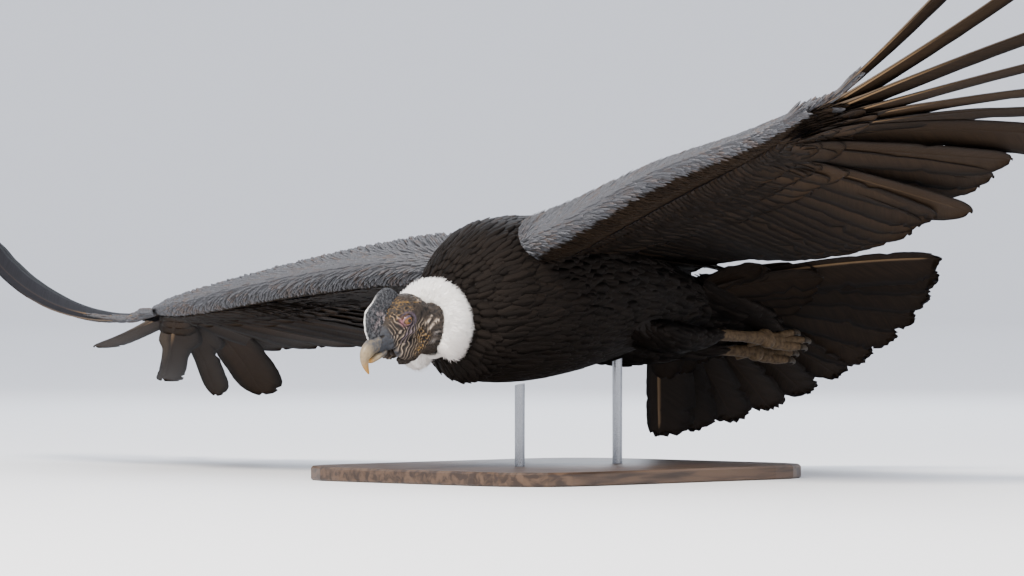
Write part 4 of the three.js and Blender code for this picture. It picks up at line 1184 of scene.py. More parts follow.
def makeBodyCoat():
    s = bodyCoat
    pile = FeatherPile()
    y, row = s["from"], 0
    while y < s["to"]:
        share = (y - s["start"]) / s["way"]
        length, curl, sink, width = (
            float(np.interp(share, *s[key])) for key in ("length", "curl", "sink", "width"))
        radius = float(hermite(trunk[:, 0], trunk[:, 2], y))
        count = max(10, int(2 * math.pi * radius / (width * s["crowd"])))
        angle = rowAngles(count, row)
        ys = y + randoms(count, -3, 3)
        at = trunkPlace(ys, angle)
        lie = trunkPlace(ys + 3, angle) - at
        normal = np.cross(lie, trunkPlace(ys, angle + 0.02) - at)
        normal *= np.sign((normal * (at - np.array([0, y, 0]))).sum(-1, keepdims=True))
        bake = np.stack([0.02 + 0.46 * lap(angle), 0.02 + 0.96 * np.clip(share, 0, 1) + 0 * angle], -1)
        # grey on the top of the back: partly grey plumage, partly painted sheen
        addCloud(pile, at, normal, lie, bake, {
            **s["feather"], "length": length * randoms(count, 0.85, 1.2), "curl": curl, "sink": sink,
            "width": width * randoms(count, 0.9, 1.15), "tint": randoms(count), "grey": greyAndSheen(at),
            "matrix": birdFrame,
        })
        y += s["step"] + s["stepMore"] * share
        row += 1
    addRumpCoat(pile)
    for leg in legPlan.values():
        addThighCoat(pile, leg)
    print("body feathers", pile.count)
    return settle(pile.build("bodyFeathers", coatLook), "plumage")


def addRumpCoat(pile):  # over the tail's root, above and below
    s = rumpCoat
    count = s["count"]
    for row, y in enumerate(np.arange(s["from"], s["to"], s["step"])):
        angle = rowAngles(count, row)
        ys = y + randoms(count, -3, 3)
        at = bodyPoint(rump, ys, angle, 1.0)
        lie = bodyPoint(rump, ys + 3, angle, 1.0) - at + np.array([0, 0.5, 0])
        normal = at - np.stack([at[:, 0] * 0.6, ys, -2 + 0 * ys], -1)
        bake = np.stack([0.02 + 0.46 * lap(angle), 0.965 + 0.0002 * (y - s["from"]) + 0 * angle], -1)
        addCloud(pile, at, normal, lie, bake, {
            **s["feather"], "length": s["length"] * randoms(count, 0.85, 1.2),
            "width": s["width"] * randoms(count, 0.9, 1.15), "tint": randoms(count), "matrix": tailFrame,
        })


def addThighCoat(pile, leg):
    s = thighCoat
    sections = np.array(leg["thigh"], float)
    places = np.linspace(0, 1, len(sections))

    def at(t, angle):
        line = curvePoints(sections[:, :3], t)
        along = unit(curvePoints(sections[:, :3], t + 0.01) - line)
        side, up = sideAndUp(along)
        wide, high = (hermite(places, sections[:, k], t) - coatDepth["thigh"] for k in (3, 4))
        out = side * (wide * np.cos(angle))[:, None] + up * (high * np.sin(angle))[:, None]
        return line + out, along, unit(out)

    for row, t in enumerate(np.arange(s["from"], s["to"], s["step"])):
        count = int(between(s["count"], t))
        angle = rowAngles(count, row)
        tt = np.clip(t + randoms(count, -0.01, 0.01), 0, 0.98)
        points, along, normal = at(tt, angle)
        bake = np.stack([leg["bakeStart"] + 0.22 * lap(angle), 0.05 + 0.9 * tt], -1)
        length = between(s["length"], t) + leg["endLength"] * smooth(0.6, 1, t)
        addCloud(pile, points, normal, along, bake, {
            **s["feather"], "length": length * randoms(count, 0.85, 1.15),
            "width": between(s["width"], t) * randoms(count, 0.9, 1.15),
            "sink": 0.2 + 1.8 * (1 - smooth(0.1, 0.4, t)), "tint": randoms(count), "matrix": birdFrame,
        })


backPlan = {  # each level starts further ahead, higher and is shorter
    "count": 14, "wide": 78, "y": 128, "z": 80, "fall": 0.0042, "length": 236, "width": 62,
    "levels": 3, "ahead": 34, "higher": 5, "shorter": 26, "lean": 0.28,
}


def makeBackFeathers():  # long soft feathers from the shoulders over the rump
    s = backPlan
    pile = FeatherPile()
    for level in range(s["levels"]):
        for i in range(s["count"] - level):
            x = s["wide"] * (2 * (i + 0.5 * level) / (s["count"] - 1) - 1)
            side = 1 if x > 0 else -1
            height = s["z"] + s["higher"] * level - s["fall"] * x * x
            root = np.array([x, s["y"] - s["ahead"] * level, height])
            addVane(pile, {
                "root": root, "side": side,
                "heading": 90 + 3 * rng.random(), "rise": (0.5 - level, -8.0 - level),
                "length": (s["length"] - s["shorter"] * level) * (0.93 + 0.12 * rng.random())
                * (1 - 0.0012 * abs(x)),
                "width": s["width"], "outline": "covert", "front": 0.5, "roll": -s["lean"] * abs(x),
                "thick": 1.2,
                "notches": 2, "ragged": 0.06, "wear": 5, "tint": rng.random(), "shaft": 0.9, "shaftTone": 0.3,
                "bake": ((i + 0.5) / s["count"], 0.1 + 0.3 * level),
            }, birdFrame, rows=16)
    return settle(pile.build("backFeathers", coatLook), "plumage")


makeBodyCoat()
makeBackFeathers()
print("body done")


# Ruff of white down round the neck
ruffCoat = {
    "strands": 11000, "length": (11, 17), "width": 1.4, "core": 24.0, "from": -80, "to": 165, "lift": 0.26,
    "throat": 271, "arc": 34, "share": 0.06, "coreSteps": (96, 28),
}


def ruffFull(a):  # how full the ruff is round its ring: thin in front of the throat
    away = np.abs(np.degrees(a) % 360 - ruffCoat["throat"]) / ruffCoat["arc"]
    return ruffCoat["share"] + (1 - ruffCoat["share"]) * smooth(0.35, 1, away)


def ruffPoint(a, b, tube):
    ring = ruffPose["ring"]
    out = np.stack([np.cos(a), np.sin(a), 0 * a], -1)
    ahead = np.array([0, 0, 1.0])
    normal = out * np.cos(b)[:, None] + ahead * np.sin(b)[:, None]
    flow = out * np.sin(b)[:, None] - ahead * np.cos(b)[:, None]
    return out * ring + normal * np.reshape(tube, (-1, 1)), normal, flow


def downMaterial():
    settings = {"Roughness": 0.9, "Specular IOR Level": 0.15, "Sheen Weight": 0.25, "Sheen Roughness": 0.6}
    material, tree, shader = newMaterial("whiteDown", settings)
    tint, lowShare = attribute(tree, "tint"), attribute(tree, "grey")
    patches = patchesOf(tree, 35.0, 3.0, 1.2)
    base = mixColour(tree, tint, (0.88, 0.84, 0.79), (0.96, 0.94, 0.91))
    # pinkish tan towards the bottom of the ruff
    lowTan = times(tree, lowShare, ramp(tree, patches, 0.3, 0.7, 0.4, 1.0))
    paint(tree, shader, mixColour(tree, lowTan, base, (0.68, 0.52, 0.43)))
    return material


def makeRuff():
    s = ruffCoat
    look = downMaterial()
    a, b = turnGrid(*s["coreSteps"])
    core, _, _ = ruffPoint(a, b, s["core"] * ruffFull(a))
    values = {"tint": np.full(len(core), 0.5)}
    piece = makeMesh("ruffCore", inWorld(ruffFrame, core), loopFaces(*s["coreSteps"]), look, values)
    settle(piece, "down", "ruff")
    makeDown(look)


def makeDown(look):  # strands over the ruff's core, each a thin tube of three sides
    s = ruffCoat
    n = s["strands"]
    a = randoms(n, 0, 2 * math.pi)
    b = np.radians(randoms(n, s["from"], s["to"]))
    start, normal, flow = ruffPoint(a, b, s["core"] * ruffFull(a) - 1.0)
    length = (randoms(n, *s["length"]) * (0.75 + 0.25 * np.cos(b)) * (0.4 + 0.6 * ruffFull(a)))[:, None]
    side = np.cross(flow, normal)
    flow = unit(flow + side * randoms(n, -0.4, 0.4)[:, None] + normal * randoms(n, -0.05, 0.12)[:, None])
    side = unit(np.cross(flow, normal))
    lift = s["lift"] * randoms(n, 0.5, 1.35)[:, None]
    bend = randoms(n, -0.3, 0.3)[:, None]
    t = np.array([0, 0.3, 0.65, 1.0])
    rise = length * (lift * t - 0.45 * lift * t**2)
    sway = length * bend * t**2
    path = start[:, None] + flow[:, None] * (length * t)[..., None]
    path = path + normal[:, None] * rise[..., None] + side[:, None] * sway[..., None]
    around = 3
    spin = turns(around)
    wide = s["width"] / 2 * (1 - 0.85 * t)[:, None] * randoms(n, 0.6, 1.3)[:, None, None]
    shape = side[:, None, None] * (wide * np.cos(spin))[..., None]
    shape = shape + normal[:, None, None] * (wide * np.sin(spin))[..., None]
    grid = (path[:, :, None] + shape).reshape(n, -1, 3)
    per = grid.shape[1]
    caps = [(0, 2, 1), (per - 3, per - 2, per - 1)]
    faces = copiedFaces(ringFaces(len(t), around), n, per) + copiedFaces(caps, n, per)
    low = smooth(-0.1, 0.95, -start[:, 1] / 70)
    over = (np.degrees(b) - s["from"]) / (s["to"] - s["from"])
    spot = np.stack([0.01 + 0.98 * a / (2 * math.pi), 0.01 + 0.98 * over], -1)
    inPatch = np.stack([np.tile([0, 0.5, 1], len(t)), np.repeat(t, around)], -1)
    maps = {"OFBake": (spot[:, None] + bakePatch * inPatch).reshape(-1, 2)}
    # grey: the share of pinkish tan, more towards the bottom
    values = {"tint": np.repeat(randoms(n), per), "grey": np.repeat(0.35 * low, per)}
    settle(makeMesh("ruffDown", inWorld(ruffFrame, grid.reshape(-1, 3)), faces, look, values, maps), "down")


makeRuff()
print("ruff done")

# Head
headPlan = {
    "eye": (26.0, -5, 7), "eyeRadius": 9.8, "foldGap": 5.2,
    "lid": {"across": 8.6, "up": 5.7, "out": 7.2, "thick": 1.3, "brow": 0.5, "steps": (56, 16)},
    "folds": [
        ([(17, -33, 17), (26, -18, 19), (31, -4, 20), (33, 10, 15)], 2.4),
        ([(17, -38, -9), (25, -22, -10), (31, 0, -12), (33, 20, -10)], 2.6),
        ([(13, -42, -19), (22, -22, -24), (28, 2, -27), (28, 24, -27)], 3.0),
    ],
    "lappet": [(0, -34, -34, 3, 4), (0, -18, -42, 5, 7), (0, 2, -47, 6, 9), (0, 20, -47, 6, 8),
               (0, 34, -42, 3, 5)],
    "jowl": [(14, -36, -26, 5, 7), (19, -24, -36, 9, 13), (20, -6, -41, 10, 15), (19, 14, -42, 10, 14),
             (13, 34, -38, 7, 8)],
    "chin": [(2, -20, -54, 7), (0, -8, -58, 9), (2, 6, -60, 9), (0, 18, -57, 8), (0, -2, -50, 13)],
    "streaks": [((-4, -5), (-22, -24), 1.5), ((-9, -3), (-27, -20), 1.2), ((2, -7), (-14, -27), 1.2)],
    "voxel": 1.05,
}
headTones = {
    "slate": (0.034, 0.037, 0.044), "pink": (0.28, 0.10, 0.13), "purple": (0.105, 0.080, 0.135),
    "ochre": (0.25, 0.135, 0.025), "cream": (0.46, 0.37, 0.29), "ash": (0.14, 0.125, 0.115),
}
comb = {
    "outline": [(-62, -12), (-69, 3), (-71, 20), (-67, 35), (-55, 49), (-35, 54), (-12, 61), (6, 58),
                (19, 44), (22, 26), (-10, 20), (-45, -6)],
    "centre": (0, -32, 22), "thick": 9, "around": 120, "rings": 20,
}
upperBill = [(-52, -5, 11, 13.5), (-58, -5, 10.5, 13), (-72, -4, 10, 12.5), (-84, -7, 8.5, 11),
             (-92, -14, 6, 8), (-94.5, -26, 3.6, 5), (-94, -37, 1.2, 1.6)]
lowerBill = [(-50, -23, 9.5, 6), (-54, -23, 9.5, 6), (-68, -22.5, 8.5, 5.5), (-80, -21.5, 6, 4.5),
             (-88, -19, 2.5, 2)]


def sphereParts(centre, radius, scale=(1, 1, 1), rings=16, around=20):
    grid = []
    for r in range(1, rings):
        a = r / rings * math.pi
        for i in range(around):
            b = i / around * 2 * math.pi
            grid.append((math.sin(a) * math.cos(b), math.sin(a) * math.sin(b), math.cos(a)))
    grid += [(0, 0, 1), (0, 0, -1)]
    points = np.array(grid) * radius * np.array(scale) + np.array(centre)
    return points, cappedFaces(rings - 1, around)


def headSkinMaterial():
    material, tree, shader = newMaterial("headSkin", {"Roughness": 0.62, "Specular IOR Level": 0.16})
    fine = patchesOf(tree, 260.0, 5.0, 1.4)
    broad = patchesOf(tree, 70.0, 3.0, 1.6)
    ridge = attribute(tree, "ridge")
    colour = mixColour(tree, fine, (0.010, 0.008, 0.0065), (0.047, 0.035, 0.027))
    pale = mixColour(tree, broad, (0.115, 0.085, 0.062), (0.29, 0.23, 0.175))
    # pale on the raised folds: partly the skin's own pale ridges and partly painted highlight
    colour = mixColour(tree, ramp(tree, ridge, 0.46, 0.72), colour, pale)
    for key, tone in headTones.items():
        share = times(tree, attribute(tree, key), ramp(tree, fine, 0.25, 0.6, 0.55, 1.0))
        colour = mixColour(tree, share, colour, tone)
    # near black where the ridge value is low: painted shade in the folds' hollows, the eye socket, the slits
    # and under the throat
    colour = mixColour(tree, ramp(tree, ridge, 0.32, 0.12), colour, (0.012, 0.010, 0.009))
    paint(tree, shader, colour)
    cells = addNode(tree, "ShaderNodeTexVoronoi", {"Vector": objectPlace(tree), "Scale": 420.0})
    height = plus(tree, times(tree, fine, 0.6), times(tree, cells.outputs["Distance"], 0.5))
    addBump(tree, shader, height, 0.5, 0.0005)
    return material


def makeHeadSkin():
    h = headPlan
    fuller = neck + np.array([0, -5, 1, -11, 9]) * smooth(-352, -325, neck[:, :1])
    parts = [
        bodyLoft(skull, headFrame, 60, 64, 0.0, (4, 8)),
        bodyLoft(fuller, birdFrame, 60, 64, 0.0, (0, 4)),
    ]
    parts.append(limbLoft(h["lappet"], headFrame, 40, 24))
    for side in (1, -1):
        parts.append(limbLoft([(side * x, y, z, w, k) for x, y, z, w, k in h["jowl"]], headFrame, 40, 24))
    for x, y, z, radius in h["chin"]:
        points, faces = sphereParts((x, y, z), radius, (0.9, 1.2, 1))
        parts.append((inWorld(headFrame, points), faces))
    points, faces = joinedMesh(parts)
    skin = makeMesh("headSkin", points, faces, headSkinMaterial())
    addRemesh(skin, h["voxel"])
    soften = skin.modifiers.new("soften", "SMOOTH")
    soften.factor, soften.iterations = 0.5, 8
    applyModifiers(skin)
    at = vertexArray(skin)
    height, values = headRelief(inFrame(headFrame, at))
    moved = at + vertexArray(skin, "normal") * height[:, None] * mm
    skin.data.vertices.foreach_set("co", moved.ravel())
    addValues(skin.data, values)
    skin.data.update()
    return settle(skin, "skin", "head", "neck", "wattle")


def nearCurve(p, points, sigma):
    line = curvePoints(points, np.linspace(0, 1, 40))
    best = np.full(len(p), 1e9)
    for spot in line:
        best = np.minimum(best, ((p - spot) ** 2).sum(1))
    return np.exp(-best / (2 * sigma**2))


def headRelief(p):
    h = headPlan
    m = p.copy()
    m[:, 0] = np.abs(m[:, 0])
    x, y, z = m.T
    warp = noiseAt(p, 0.06, 3.0) * 5
    outer = smooth(5, 14, x)

    def patch(cy, cz, ry, rz):
        return np.exp(-((y - cy) / ry) ** 2 - ((z - cz) / rz) ** 2) * outer

    def stripe(start, end, wide):
        a, run = np.array(start, float), np.array(end, float) - start
        t = np.clip(((y - a[0]) * run[0] + (z - a[1]) * run[1]) / (run @ run), 0, 1)
        gap = np.hypot(y - a[0] - t * run[0], z - a[1] - t * run[1] + warp * 0.25)
        return np.exp(-((gap / wide) ** 2)) * outer

    folds = sum(size * nearCurve(m, points, size * 0.9) for points, size in h["folds"])
    face = smooth(4, 14, x) * smooth(-44, -36, y) * smooth(36, 22, y) * smooth(4, -4, z) * smooth(-58, -46, z)
    front = smooth(8, 18, x) * smooth(-44, -36, y) * smooth(-8, -16, y)
    front = front * smooth(30, 20, z) * smooth(-12, -2, z)
    slanted = 0.68 * y - 0.73 * z + warp * 1.1 + noiseAt(p, 0.13, 51.0) * 2.2
    upright = y + 0.12 * z + warp * 0.8 + noiseAt(p, 0.13, 57.0) * 2.0
    wave, tall = (np.sin(way * 2 * math.pi / h["foldGap"]) for way in (slanted, upright))
    crown = smooth(9, 18, z) * smooth(-32, -20, y) * smooth(60, 46, y)
    crinkle = 1 - np.abs(noiseAt(p, 0.20, 21.0)) * 3.0
    pebble = 1 - np.abs(noiseAt(p, 0.27, 31.0)) * 3.4
    nape = smooth(30, 40, y)
    throat = smooth(-46, -52, z)
    stripes = np.maximum(stripe((25, -15), (43, -13), 1.9), stripe((25, -26), (50, -23), 2.2))
    greys = np.maximum(patch(38, -39, 6, 3.2), patch(28, -48, 6, 3.2))
    bars = np.sin((z + 0.35 * y + warp * 0.9) * 2 * math.pi / 9.5)
    bars = bars * smooth(30, 38, y) * smooth(-2, 4, np.abs(z + 22) - 8)
    wriggly = np.clip(patch(14, -34, 11, 9) + patch(-2, -45, 12, 6) + patch(12, -20, 7, 6), 0, 1)
    height = folds + face * wave * 0.85 + front * tall * 0.6 + crown * crinkle * 0.8 + wriggly * pebble * 0.7
    height += stripes * 1.5 + greys * 1.0 + bars * 0.5 + nape * crinkle * 0.5 + throat * crinkle * 1.3
    height += noiseAt(p, 0.45, 41.0) * 0.35
    _, eyeY, eyeZ = h["eye"]
    away = np.hypot((y - eyeY) / 1.2, z - eyeZ)
    side = x > 14
    socket = np.where(side, smooth(8.6, 5.6, away), 0)
    around = np.where(side, np.exp(-((away - 11.5) / 2.6) ** 2), 0)
    height = height * (1 - np.where(side, smooth(12, 8, away), 0)) + around * 0.5 - socket * 6.5
    slit = np.where(x > 5, np.exp(-((y + 50 + (z - 3) * 0.3) / 4.2) ** 2 - ((z - 3) / 2.0) ** 2), 0)
    earSpot = patch(25, 2, 3.6, 4.2)
    height += -2.6 * slit - 3.2 * earSpot
    # ridge: high on fold tops and low in hollows, for painted highlight and painted shade; some patches are
    # the skin's own tone
    ridge = 0.37 + 0.30 * face * wave + 0.26 * front * tall + 0.20 * crown * (crinkle - 0.25)
    ridge += 0.16 * nape * (crinkle - 1.1) + 0.12 * bars + 0.03 * folds - 0.10 * throat * (1 - face)
    ridge += 0.28 * patch(38, 18, 8, 6) - 0.22 * patch(36, 4, 7, 6) + 0.30 * wriggly * (pebble - 0.35)
    # painted shade in the slit, the ear hole and the eye socket
    ridge -= 0.45 * slit + 0.5 * earSpot + 0.45 * socket
    rim = np.where(side, np.exp(-((away - 10.6) / 1.7) ** 2), 0)
    purple = rim * 0.4 * smooth(-14, -2, y)
    streaks = sum(stripe(*streak) for streak in h["streaks"])
    purple = np.maximum(purple, 0.6 * np.clip(streaks, 0, 1))
    pink = 0.6 * patch(-16, 9, 3.4, 5.0) + 0.1 * rim * smooth(-6, -14, y)
    gold = stripe((3, 33), (32, 19), 0.9) * smooth(-0.3, 0.3, noiseAt(p, 0.15, 61.0) + 0.1)
    ochre = np.maximum(0.9 * wriggly * smooth(0.35, 0.75, pebble), 0.8 * gold)
    ochre = np.maximum(ochre, 0.35 * crown * smooth(0.65, 0.9, crinkle) * smooth(24, 4, y))
    values = {
        "ridge": ridge, "slate": smooth(-33, -41, y) * 0.95, "pink": np.clip(pink, 0, 1), "purple": purple,
        "ochre": ochre, "cream": stripes, "ash": greys,
    }
    return height, values


def eyeMaterials():
    settings = {"Roughness": 0.15, "Specular IOR Level": 0.25, "Coat Weight": 0.25, "Coat Roughness": 0.03}
    ball, tree, shader = newMaterial("eyeball", settings)
    away = attribute(tree, "away")
    flecks = patchesOf(tree, 900.0, 3.0, 1.2)
    iris = mixColour(tree, flecks, (0.060, 0.026, 0.008), (0.185, 0.085, 0.018))
    iris = mixColour(tree, ramp(tree, away, 0.66, 0.84), iris, (0.045, 0.02, 0.01))
    paint(tree, shader, mixColour(tree, ramp(tree, away, 0.26, 0.31), (0.003, 0.003, 0.003), iris))
    lid, tree, shader = newMaterial("eyelids", {"Roughness": 0.5, "Specular IOR Level": 0.2})
    front = attribute(tree, "front")
    fine = patchesOf(tree, 300.0, 4.0, 1.3)
    rose = mixColour(tree, fine, (0.11, 0.055, 0.06), (0.24, 0.12, 0.13))
    plum = mixColour(tree, fine, (0.030, 0.025, 0.034), (0.11, 0.085, 0.125))
    paint(tree, shader, mixColour(tree, front, plum, rose))
    return ball, lid


def eyelidRing(a, b, outward):  # points of a lid round the eye's middle
    s = headPlan["lid"]
    thick = s["thick"] + s["brow"] * np.maximum(np.sin(a), 0)
    across = (s["across"] + thick * np.cos(b)) * np.cos(a)
    up = (s["up"] + thick * np.cos(b)) * np.sin(a)
    ring = np.stack([across, up, s["out"] + thick * np.sin(b) - 0.05 * across**2], -1)
    basis = np.stack([np.array([0, -1.0, 0]), np.array([0, 0, 1.0]), outward])
    for k in (0, 1):
        basis[k] = unit(basis[k] - outward * (basis[k] @ outward))
    return ring @ basis


def makeEyes():
    ballLook, lidLook = eyeMaterials()
    radius, lidSteps = headPlan["eyeRadius"], headPlan["lid"]["steps"]
    x, y, z = headPlan["eye"]
    a, b = turnGrid(*lidSteps)
    for side, name in ((1, "left"), (-1, "right")):
        centre = np.array([x * side, y, z], float)
        outward = unit(np.array([side, -0.24, 0.05]))
        turn = np.array(Vector(outward).to_track_quat("Z", "Y").to_matrix())
        points, faces = sphereParts((0, 0, 0), radius, rings=40, around=48)
        away = np.arccos(np.clip(points[:, 2] / radius, -1, 1))
        bulge = 1 + 0.06 * smooth(0.62, 0.35, away)
        points = inWorld(headFrame, (points * bulge[:, None]) @ turn.T + centre)
        settle(makeMesh(f"eyeball_{name}", points, faces, ballLook, {"away": away}), "iris", f"eye_{name}")
        points = inWorld(headFrame, eyelidRing(a, b, outward) + centre)
        values = {"front": smooth(-0.2, 0.8, np.cos(a))}
        settle(makeMesh(f"eyelids_{name}", points, loopFaces(*lidSteps), lidLook, values), "skin")


def combMaterial():
    material, tree, shader = newMaterial("combSkin", {"Roughness": 0.65, "Specular IOR Level": 0.16})
    fine = patchesOf(tree, 320.0, 5.0, 1.4)
    broad = patchesOf(tree, 90.0, 4.0, 1.8)
    colour = mixColour(tree, ramp(tree, fine, 0.3, 0.7), (0.011, 0.012, 0.014), (0.064, 0.065, 0.069))
    # near black in the folds and the dent: painted shade
    colour = mixColour(tree, ramp(tree, attribute(tree, "creaseShade"), 0.35, 0.8), colour, (0.010, 0.009, 0.010))
    scurf = times(tree, attribute(tree, "scurf"), ramp(tree, broad, 0.46, 0.60))
    scurf = times(tree, scurf, ramp(tree, fine, 0.35, 0.6, 0.35, 1.0))
    colour = mixColour(tree, scurf, colour, (0.27, 0.215, 0.21))
    # pale edge along the front of the outline: painted rim light
    colour = mixColour(tree, attribute(tree, "rim"), colour, (0.60, 0.58, 0.55))
    paint(tree, shader, colour)
    addBump(tree, shader, fine, 0.6, 0.0006)
    return material


def makeComb():
    s = comb
    closed = np.array(s["outline"] + s["outline"][:3], float)
    closed = np.concatenate([np.zeros((len(closed), 1)), closed], 1)
    n = len(s["outline"])
    t = (1 + np.arange(s["around"]) / s["around"] * n) / (len(closed) - 1)
    edge = curvePoints(closed, t)
    centre = np.array(s["centre"], float)
    shares = np.sin(np.linspace(0.04, 1, s["rings"]) * math.pi / 2)
    rows = [(share, 1) for share in shares] + [(share, -1) for share in shares[-2::-1]]
    points, rim, scurf, creaseShade = [], [], [], []
    for share, side in rows:
        ring = centre + (edge - centre) * share
        half = s["thick"] / 2 * (1 - share**6) ** 0.5
        folds = np.abs(noiseAt(ring, 0.13, 15.0 * side))
        behind, high = ring[:, 1] + 36, ring[:, 2] - 4
        dent = np.exp(-((behind - 0.5 * high) / 2.6) ** 2 - (high / 5.0) ** 2)
        bumps = noiseAt(ring, 0.12, 5.0 * side) * 1.3 + noiseAt(ring, 0.35, 9.0 * side) * 0.5
        bumps += 1.4 * smooth(0.02, 0.16, folds) - 3.0 * dent - 1.0
        root = smooth(30, 0, ring[:, 2]) * 3.0 * (1 - share**4)
        sway = 1.6 * np.sin(ring[:, 2] * 0.06) * smooth(0, 40, ring[:, 2])
        ring[:, 0] = side * (half + (bumps + root) * min(1, half / 2)) + sway
        points.append(ring)
        # rim: where the painted rim light lies, along the front of the outline
        front = smooth(0.1, 0.9, -(edge[:, 1] - centre[1]) / 30 + (edge[:, 2] - 20) / 60)
        rim.append(smooth(0.972, 1.0, share) * front)
        scurf.append(np.exp(-(((ring[:, 1] + 33) / 17) ** 2 + ((ring[:, 2] - 24) / 15) ** 2)))
        # painted shade in the folds and the dent
        creaseShade.append(np.maximum(smooth(0.07, 0.01, folds) * 0.8, dent) * (1 - share**8))
    ends = np.array([[s["thick"] / 2, *centre[1:]], [-s["thick"] / 2, *centre[1:]]])
    points = inWorld(headFrame, np.vstack([*points, ends]))
    values = {
        "rim": np.concatenate([*rim, [0, 0]]), "scurf": np.concatenate([*scurf, [1, 1]]),
        "creaseShade": np.concatenate([*creaseShade, [0, 0]]),
    }
    piece = makeMesh("combPlate", points, cappedFaces(len(rows), s["around"]), combMaterial(), values)
    return settle(piece, "comb", "comb")


def billMaterial():
    material, tree, shader = newMaterial("billHorn", {"Roughness": 0.42, "Specular IOR Level": 0.3})
    fine = patchesOf(tree, 200.0, 4.0, 1.2)
    place = attribute(tree, "along")
    colour = mixColour(tree, fine, (0.15, 0.105, 0.057), (0.30, 0.235, 0.145))
    base = times(tree, ramp(tree, place, 0.54, 0.32), ramp(tree, fine, 0.3, 0.65, 0.55, 1.0))
    colour = mixColour(tree, base, colour, (0.050, 0.050, 0.052))
    colour = mixColour(tree, times(tree, ramp(tree, place, 0.62, 0.93), 0.85), colour, (0.36, 0.17, 0.022))
    paint(tree, shader, colour)
    addBump(tree, shader, fine, 0.2, 0.0004)
    return material


def makeBill():
    look = billMaterial()
    steps, around = 44, 40
    bills = (("upperBill", upperBill, "bill_upper"), ("lowerBill", lowerBill, "bill_lower"))
    for name, sections, node in bills:
        sections = [(0, y, z, w, k) for y, z, w, k in sections]
        points, faces = limbLoft(sections, headFrame, steps, around, cap=0.8)
        along = np.concatenate([np.repeat(np.linspace(0, 1, steps), around), [0, 1]])
        piece = makeMesh(name, points, faces, look, {"along": along})
        settle(piece, "horn", node)


makeHeadSkin()
makeEyes()
makeComb()
makeBill()
print("head done")

# Legs and feet
footPlan = {
    "toes": [(-0.16, 84, 10), (0, 104, 11), (0.16, 88, 10)],  # splay, length, thickness
    "hind": 7.5, "pad": 16, "scute": 5.0, "roll": 75,
}


def footMaterials():
    skin, tree, shader = newMaterial("footSkin", {"Roughness": 0.7, "Specular IOR Level": 0.1})
    fine = patchesOf(tree, 160.0, 4.0, 1.6)
    colour = mixColour(tree, fine, (0.021, 0.0145, 0.009), (0.105, 0.068, 0.036))
    colour = mixColour(tree, ramp(tree, attribute(tree, "scute"), 0.4, 0.05), colour, (0.028, 0.020, 0.014))
    paint(tree, shader, colour)
    claw, tree, shader = newMaterial("clawHorn", {"Roughness": 0.7, "Specular IOR Level": 0.1})
    shade = patchesOf(tree, 200.0, 3.0, 1.4)
    tone = mixColour(tree, shade, (0.010, 0.008, 0.006), (0.045, 0.033, 0.021))
    paint(tree, shader, tone)
    return skin, claw


def tubeMesh(centres, radii, around, scute=0.0):  # a scaly tube: its points, faces and where its plates are
    centres = np.asarray(centres, float)
    along = unit(np.gradient(centres, axis=0))
    side, up = sideAndUp(along)
    plates = np.abs(np.sin(lengthAlong(centres) / footPlan["scute"] * math.pi)) ** 0.6
    a = turns(around)
    above = 0.5 + 0.5 * np.sin(a)
    reach = np.asarray(radii)[:, None] * (1 + scute * (plates[:, None] - 0.7) * (0.35 + 0.65 * above))
    grid = centres[:, None] + side[:, None] * (reach * np.cos(a))[..., None]
    grid = grid + up[:, None] * (reach * np.sin(a))[..., None]
    ends = np.array([centres[0] - along[0], centres[-1] + along[-1] * 0.6])
    values = np.concatenate([np.repeat(plates, around), [1, 1]])
    return np.vstack([grid.reshape(-1, 3), ends]), cappedFaces(len(centres), around), values


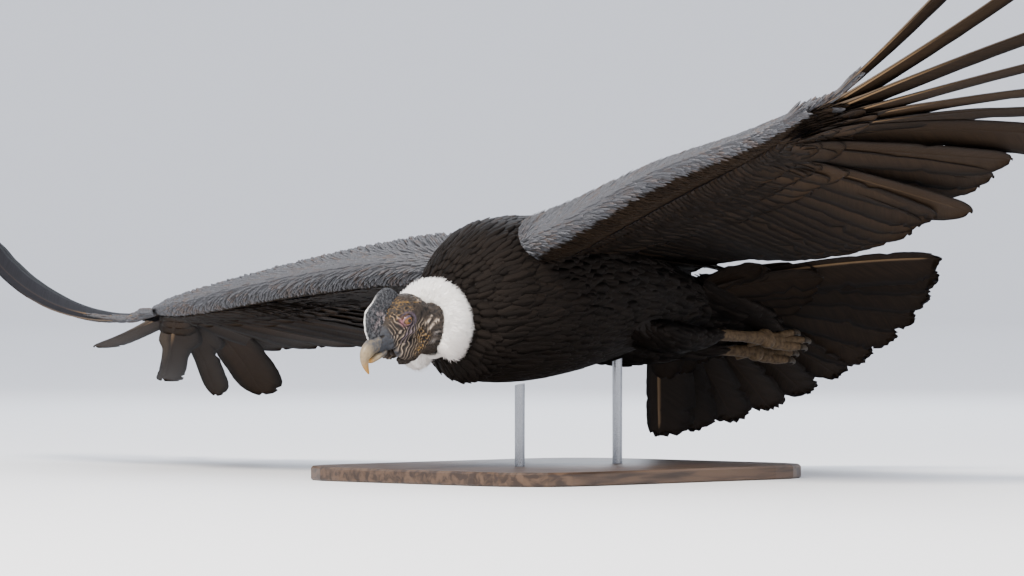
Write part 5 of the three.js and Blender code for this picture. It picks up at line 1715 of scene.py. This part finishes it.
def makeFoot(name, leg, skinLook, clawLook):
    t = np.linspace(0, 1, 40)
    shank = np.array(leg["shank"], float)
    places = np.linspace(0, 1, len(shank))
    shankTube = tubeMesh(curvePoints(shank[:, :3], t), hermite(places, shank[:, 3], t), 20, 0.08)
    x, y, z = shank[-1, :3]
    rolled = birdFrame @ Matrix.Translation((x, y, z)) @ turned(footPlan["roll"], "Y")
    parts, claws = [], []
    for splay, length, thick in footPlan["toes"]:
        t = np.linspace(0, 1, 44)
        toe = np.stack([splay * length * t, length * t, 4 * t - 8 * np.sin(math.pi * t)], -1)
        swell = (1 + 0.2 * np.abs(np.sin(t * math.pi * 3.5))) * (1 - 0.45 * smooth(0.86, 1, t))
        parts.append(tubeMesh(toe, thick * (0.92 - 0.32 * t) * swell, 16, 0.16))
        tip = toe[-1]
        t = np.linspace(0, 1, 16)
        claw = np.stack([tip[0] + 0 * t, tip[1] - 5 + 28 * np.sin(1.5 * t), tip[2] - 17 * t**2 + 1], -1)
        claws.append(tubeMesh(claw, 5.2 * (1 - 0.9 * t**1.3), 12))
    t = np.linspace(0, 1, 20)
    hind = np.stack([0 * t, 6 - 15.2 * t, -6 - 19 * t], -1)
    parts.append(tubeMesh(hind, footPlan["hind"] * (1 - 0.5 * t), 14, 0.10))
    points, faces = sphereParts((0, 10, 0), footPlan["pad"], (1.1, 1.2, 0.75))
    parts.append((points, faces, np.ones(len(points))))
    points, faces = joinedMesh([(inWorld(birdFrame, shankTube[0]), shankTube[1])]
                               + [(inWorld(rolled, part[0]), part[1]) for part in parts])
    values = np.concatenate([shankTube[2]] + [part[2] for part in parts])
    piece = makeMesh(f"foot_{name}", points, faces, skinLook, {"scute": values})
    settle(piece, "scales", f"shank_{name}", f"foot_{name}")
    points, faces = joinedMesh([claw[:2] for claw in claws])
    settle(makeMesh(f"claws_{name}", inWorld(rolled, points), faces, clawLook), "horn")


def standMaterials():
    wood, tree, shader = newMaterial("darkWood", {"Roughness": 0.42, "Specular IOR Level": 0.4})
    stretched = {"Vector": objectPlace(tree), "Scale": (14.0, 1.2, 14.0)}
    place = addNode(tree, "ShaderNodeMapping", stretched).outputs[0]
    inputs = {"Vector": place, "Scale": 6.0, "Detail": 6.0, "Distortion": 0.6}
    grain = addNode(tree, "ShaderNodeTexNoise", inputs)
    rings = ramp(tree, grain.outputs["Fac"], 0.38, 0.62)
    paint(tree, shader, mixColour(tree, rings, (0.028, 0.016, 0.010), (0.085, 0.050, 0.030)))
    addBump(tree, shader, rings, 0.15, 0.0005)
    steel, tree, shader = newMaterial("brushedSteel", {"Metallic": 1.0, "Base Color": (0.30, 0.31, 0.33, 1)})
    fine = patchesOf(tree, 900.0, 3.0, 1.0)
    tree.links.new(ramp(tree, fine, 0.3, 0.7, 0.22, 0.36), shader.inputs["Roughness"])
    for name, look in (("stand_base", wood), ("stand_rod_front", steel), ("stand_rod_rear", steel)):
        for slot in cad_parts[name].material_slots:
            slot.material = look


standMaterials()
footLooks = footMaterials()
for legName, leg in legPlan.items():
    makeFoot(legName, leg, *footLooks)
print("feet done")
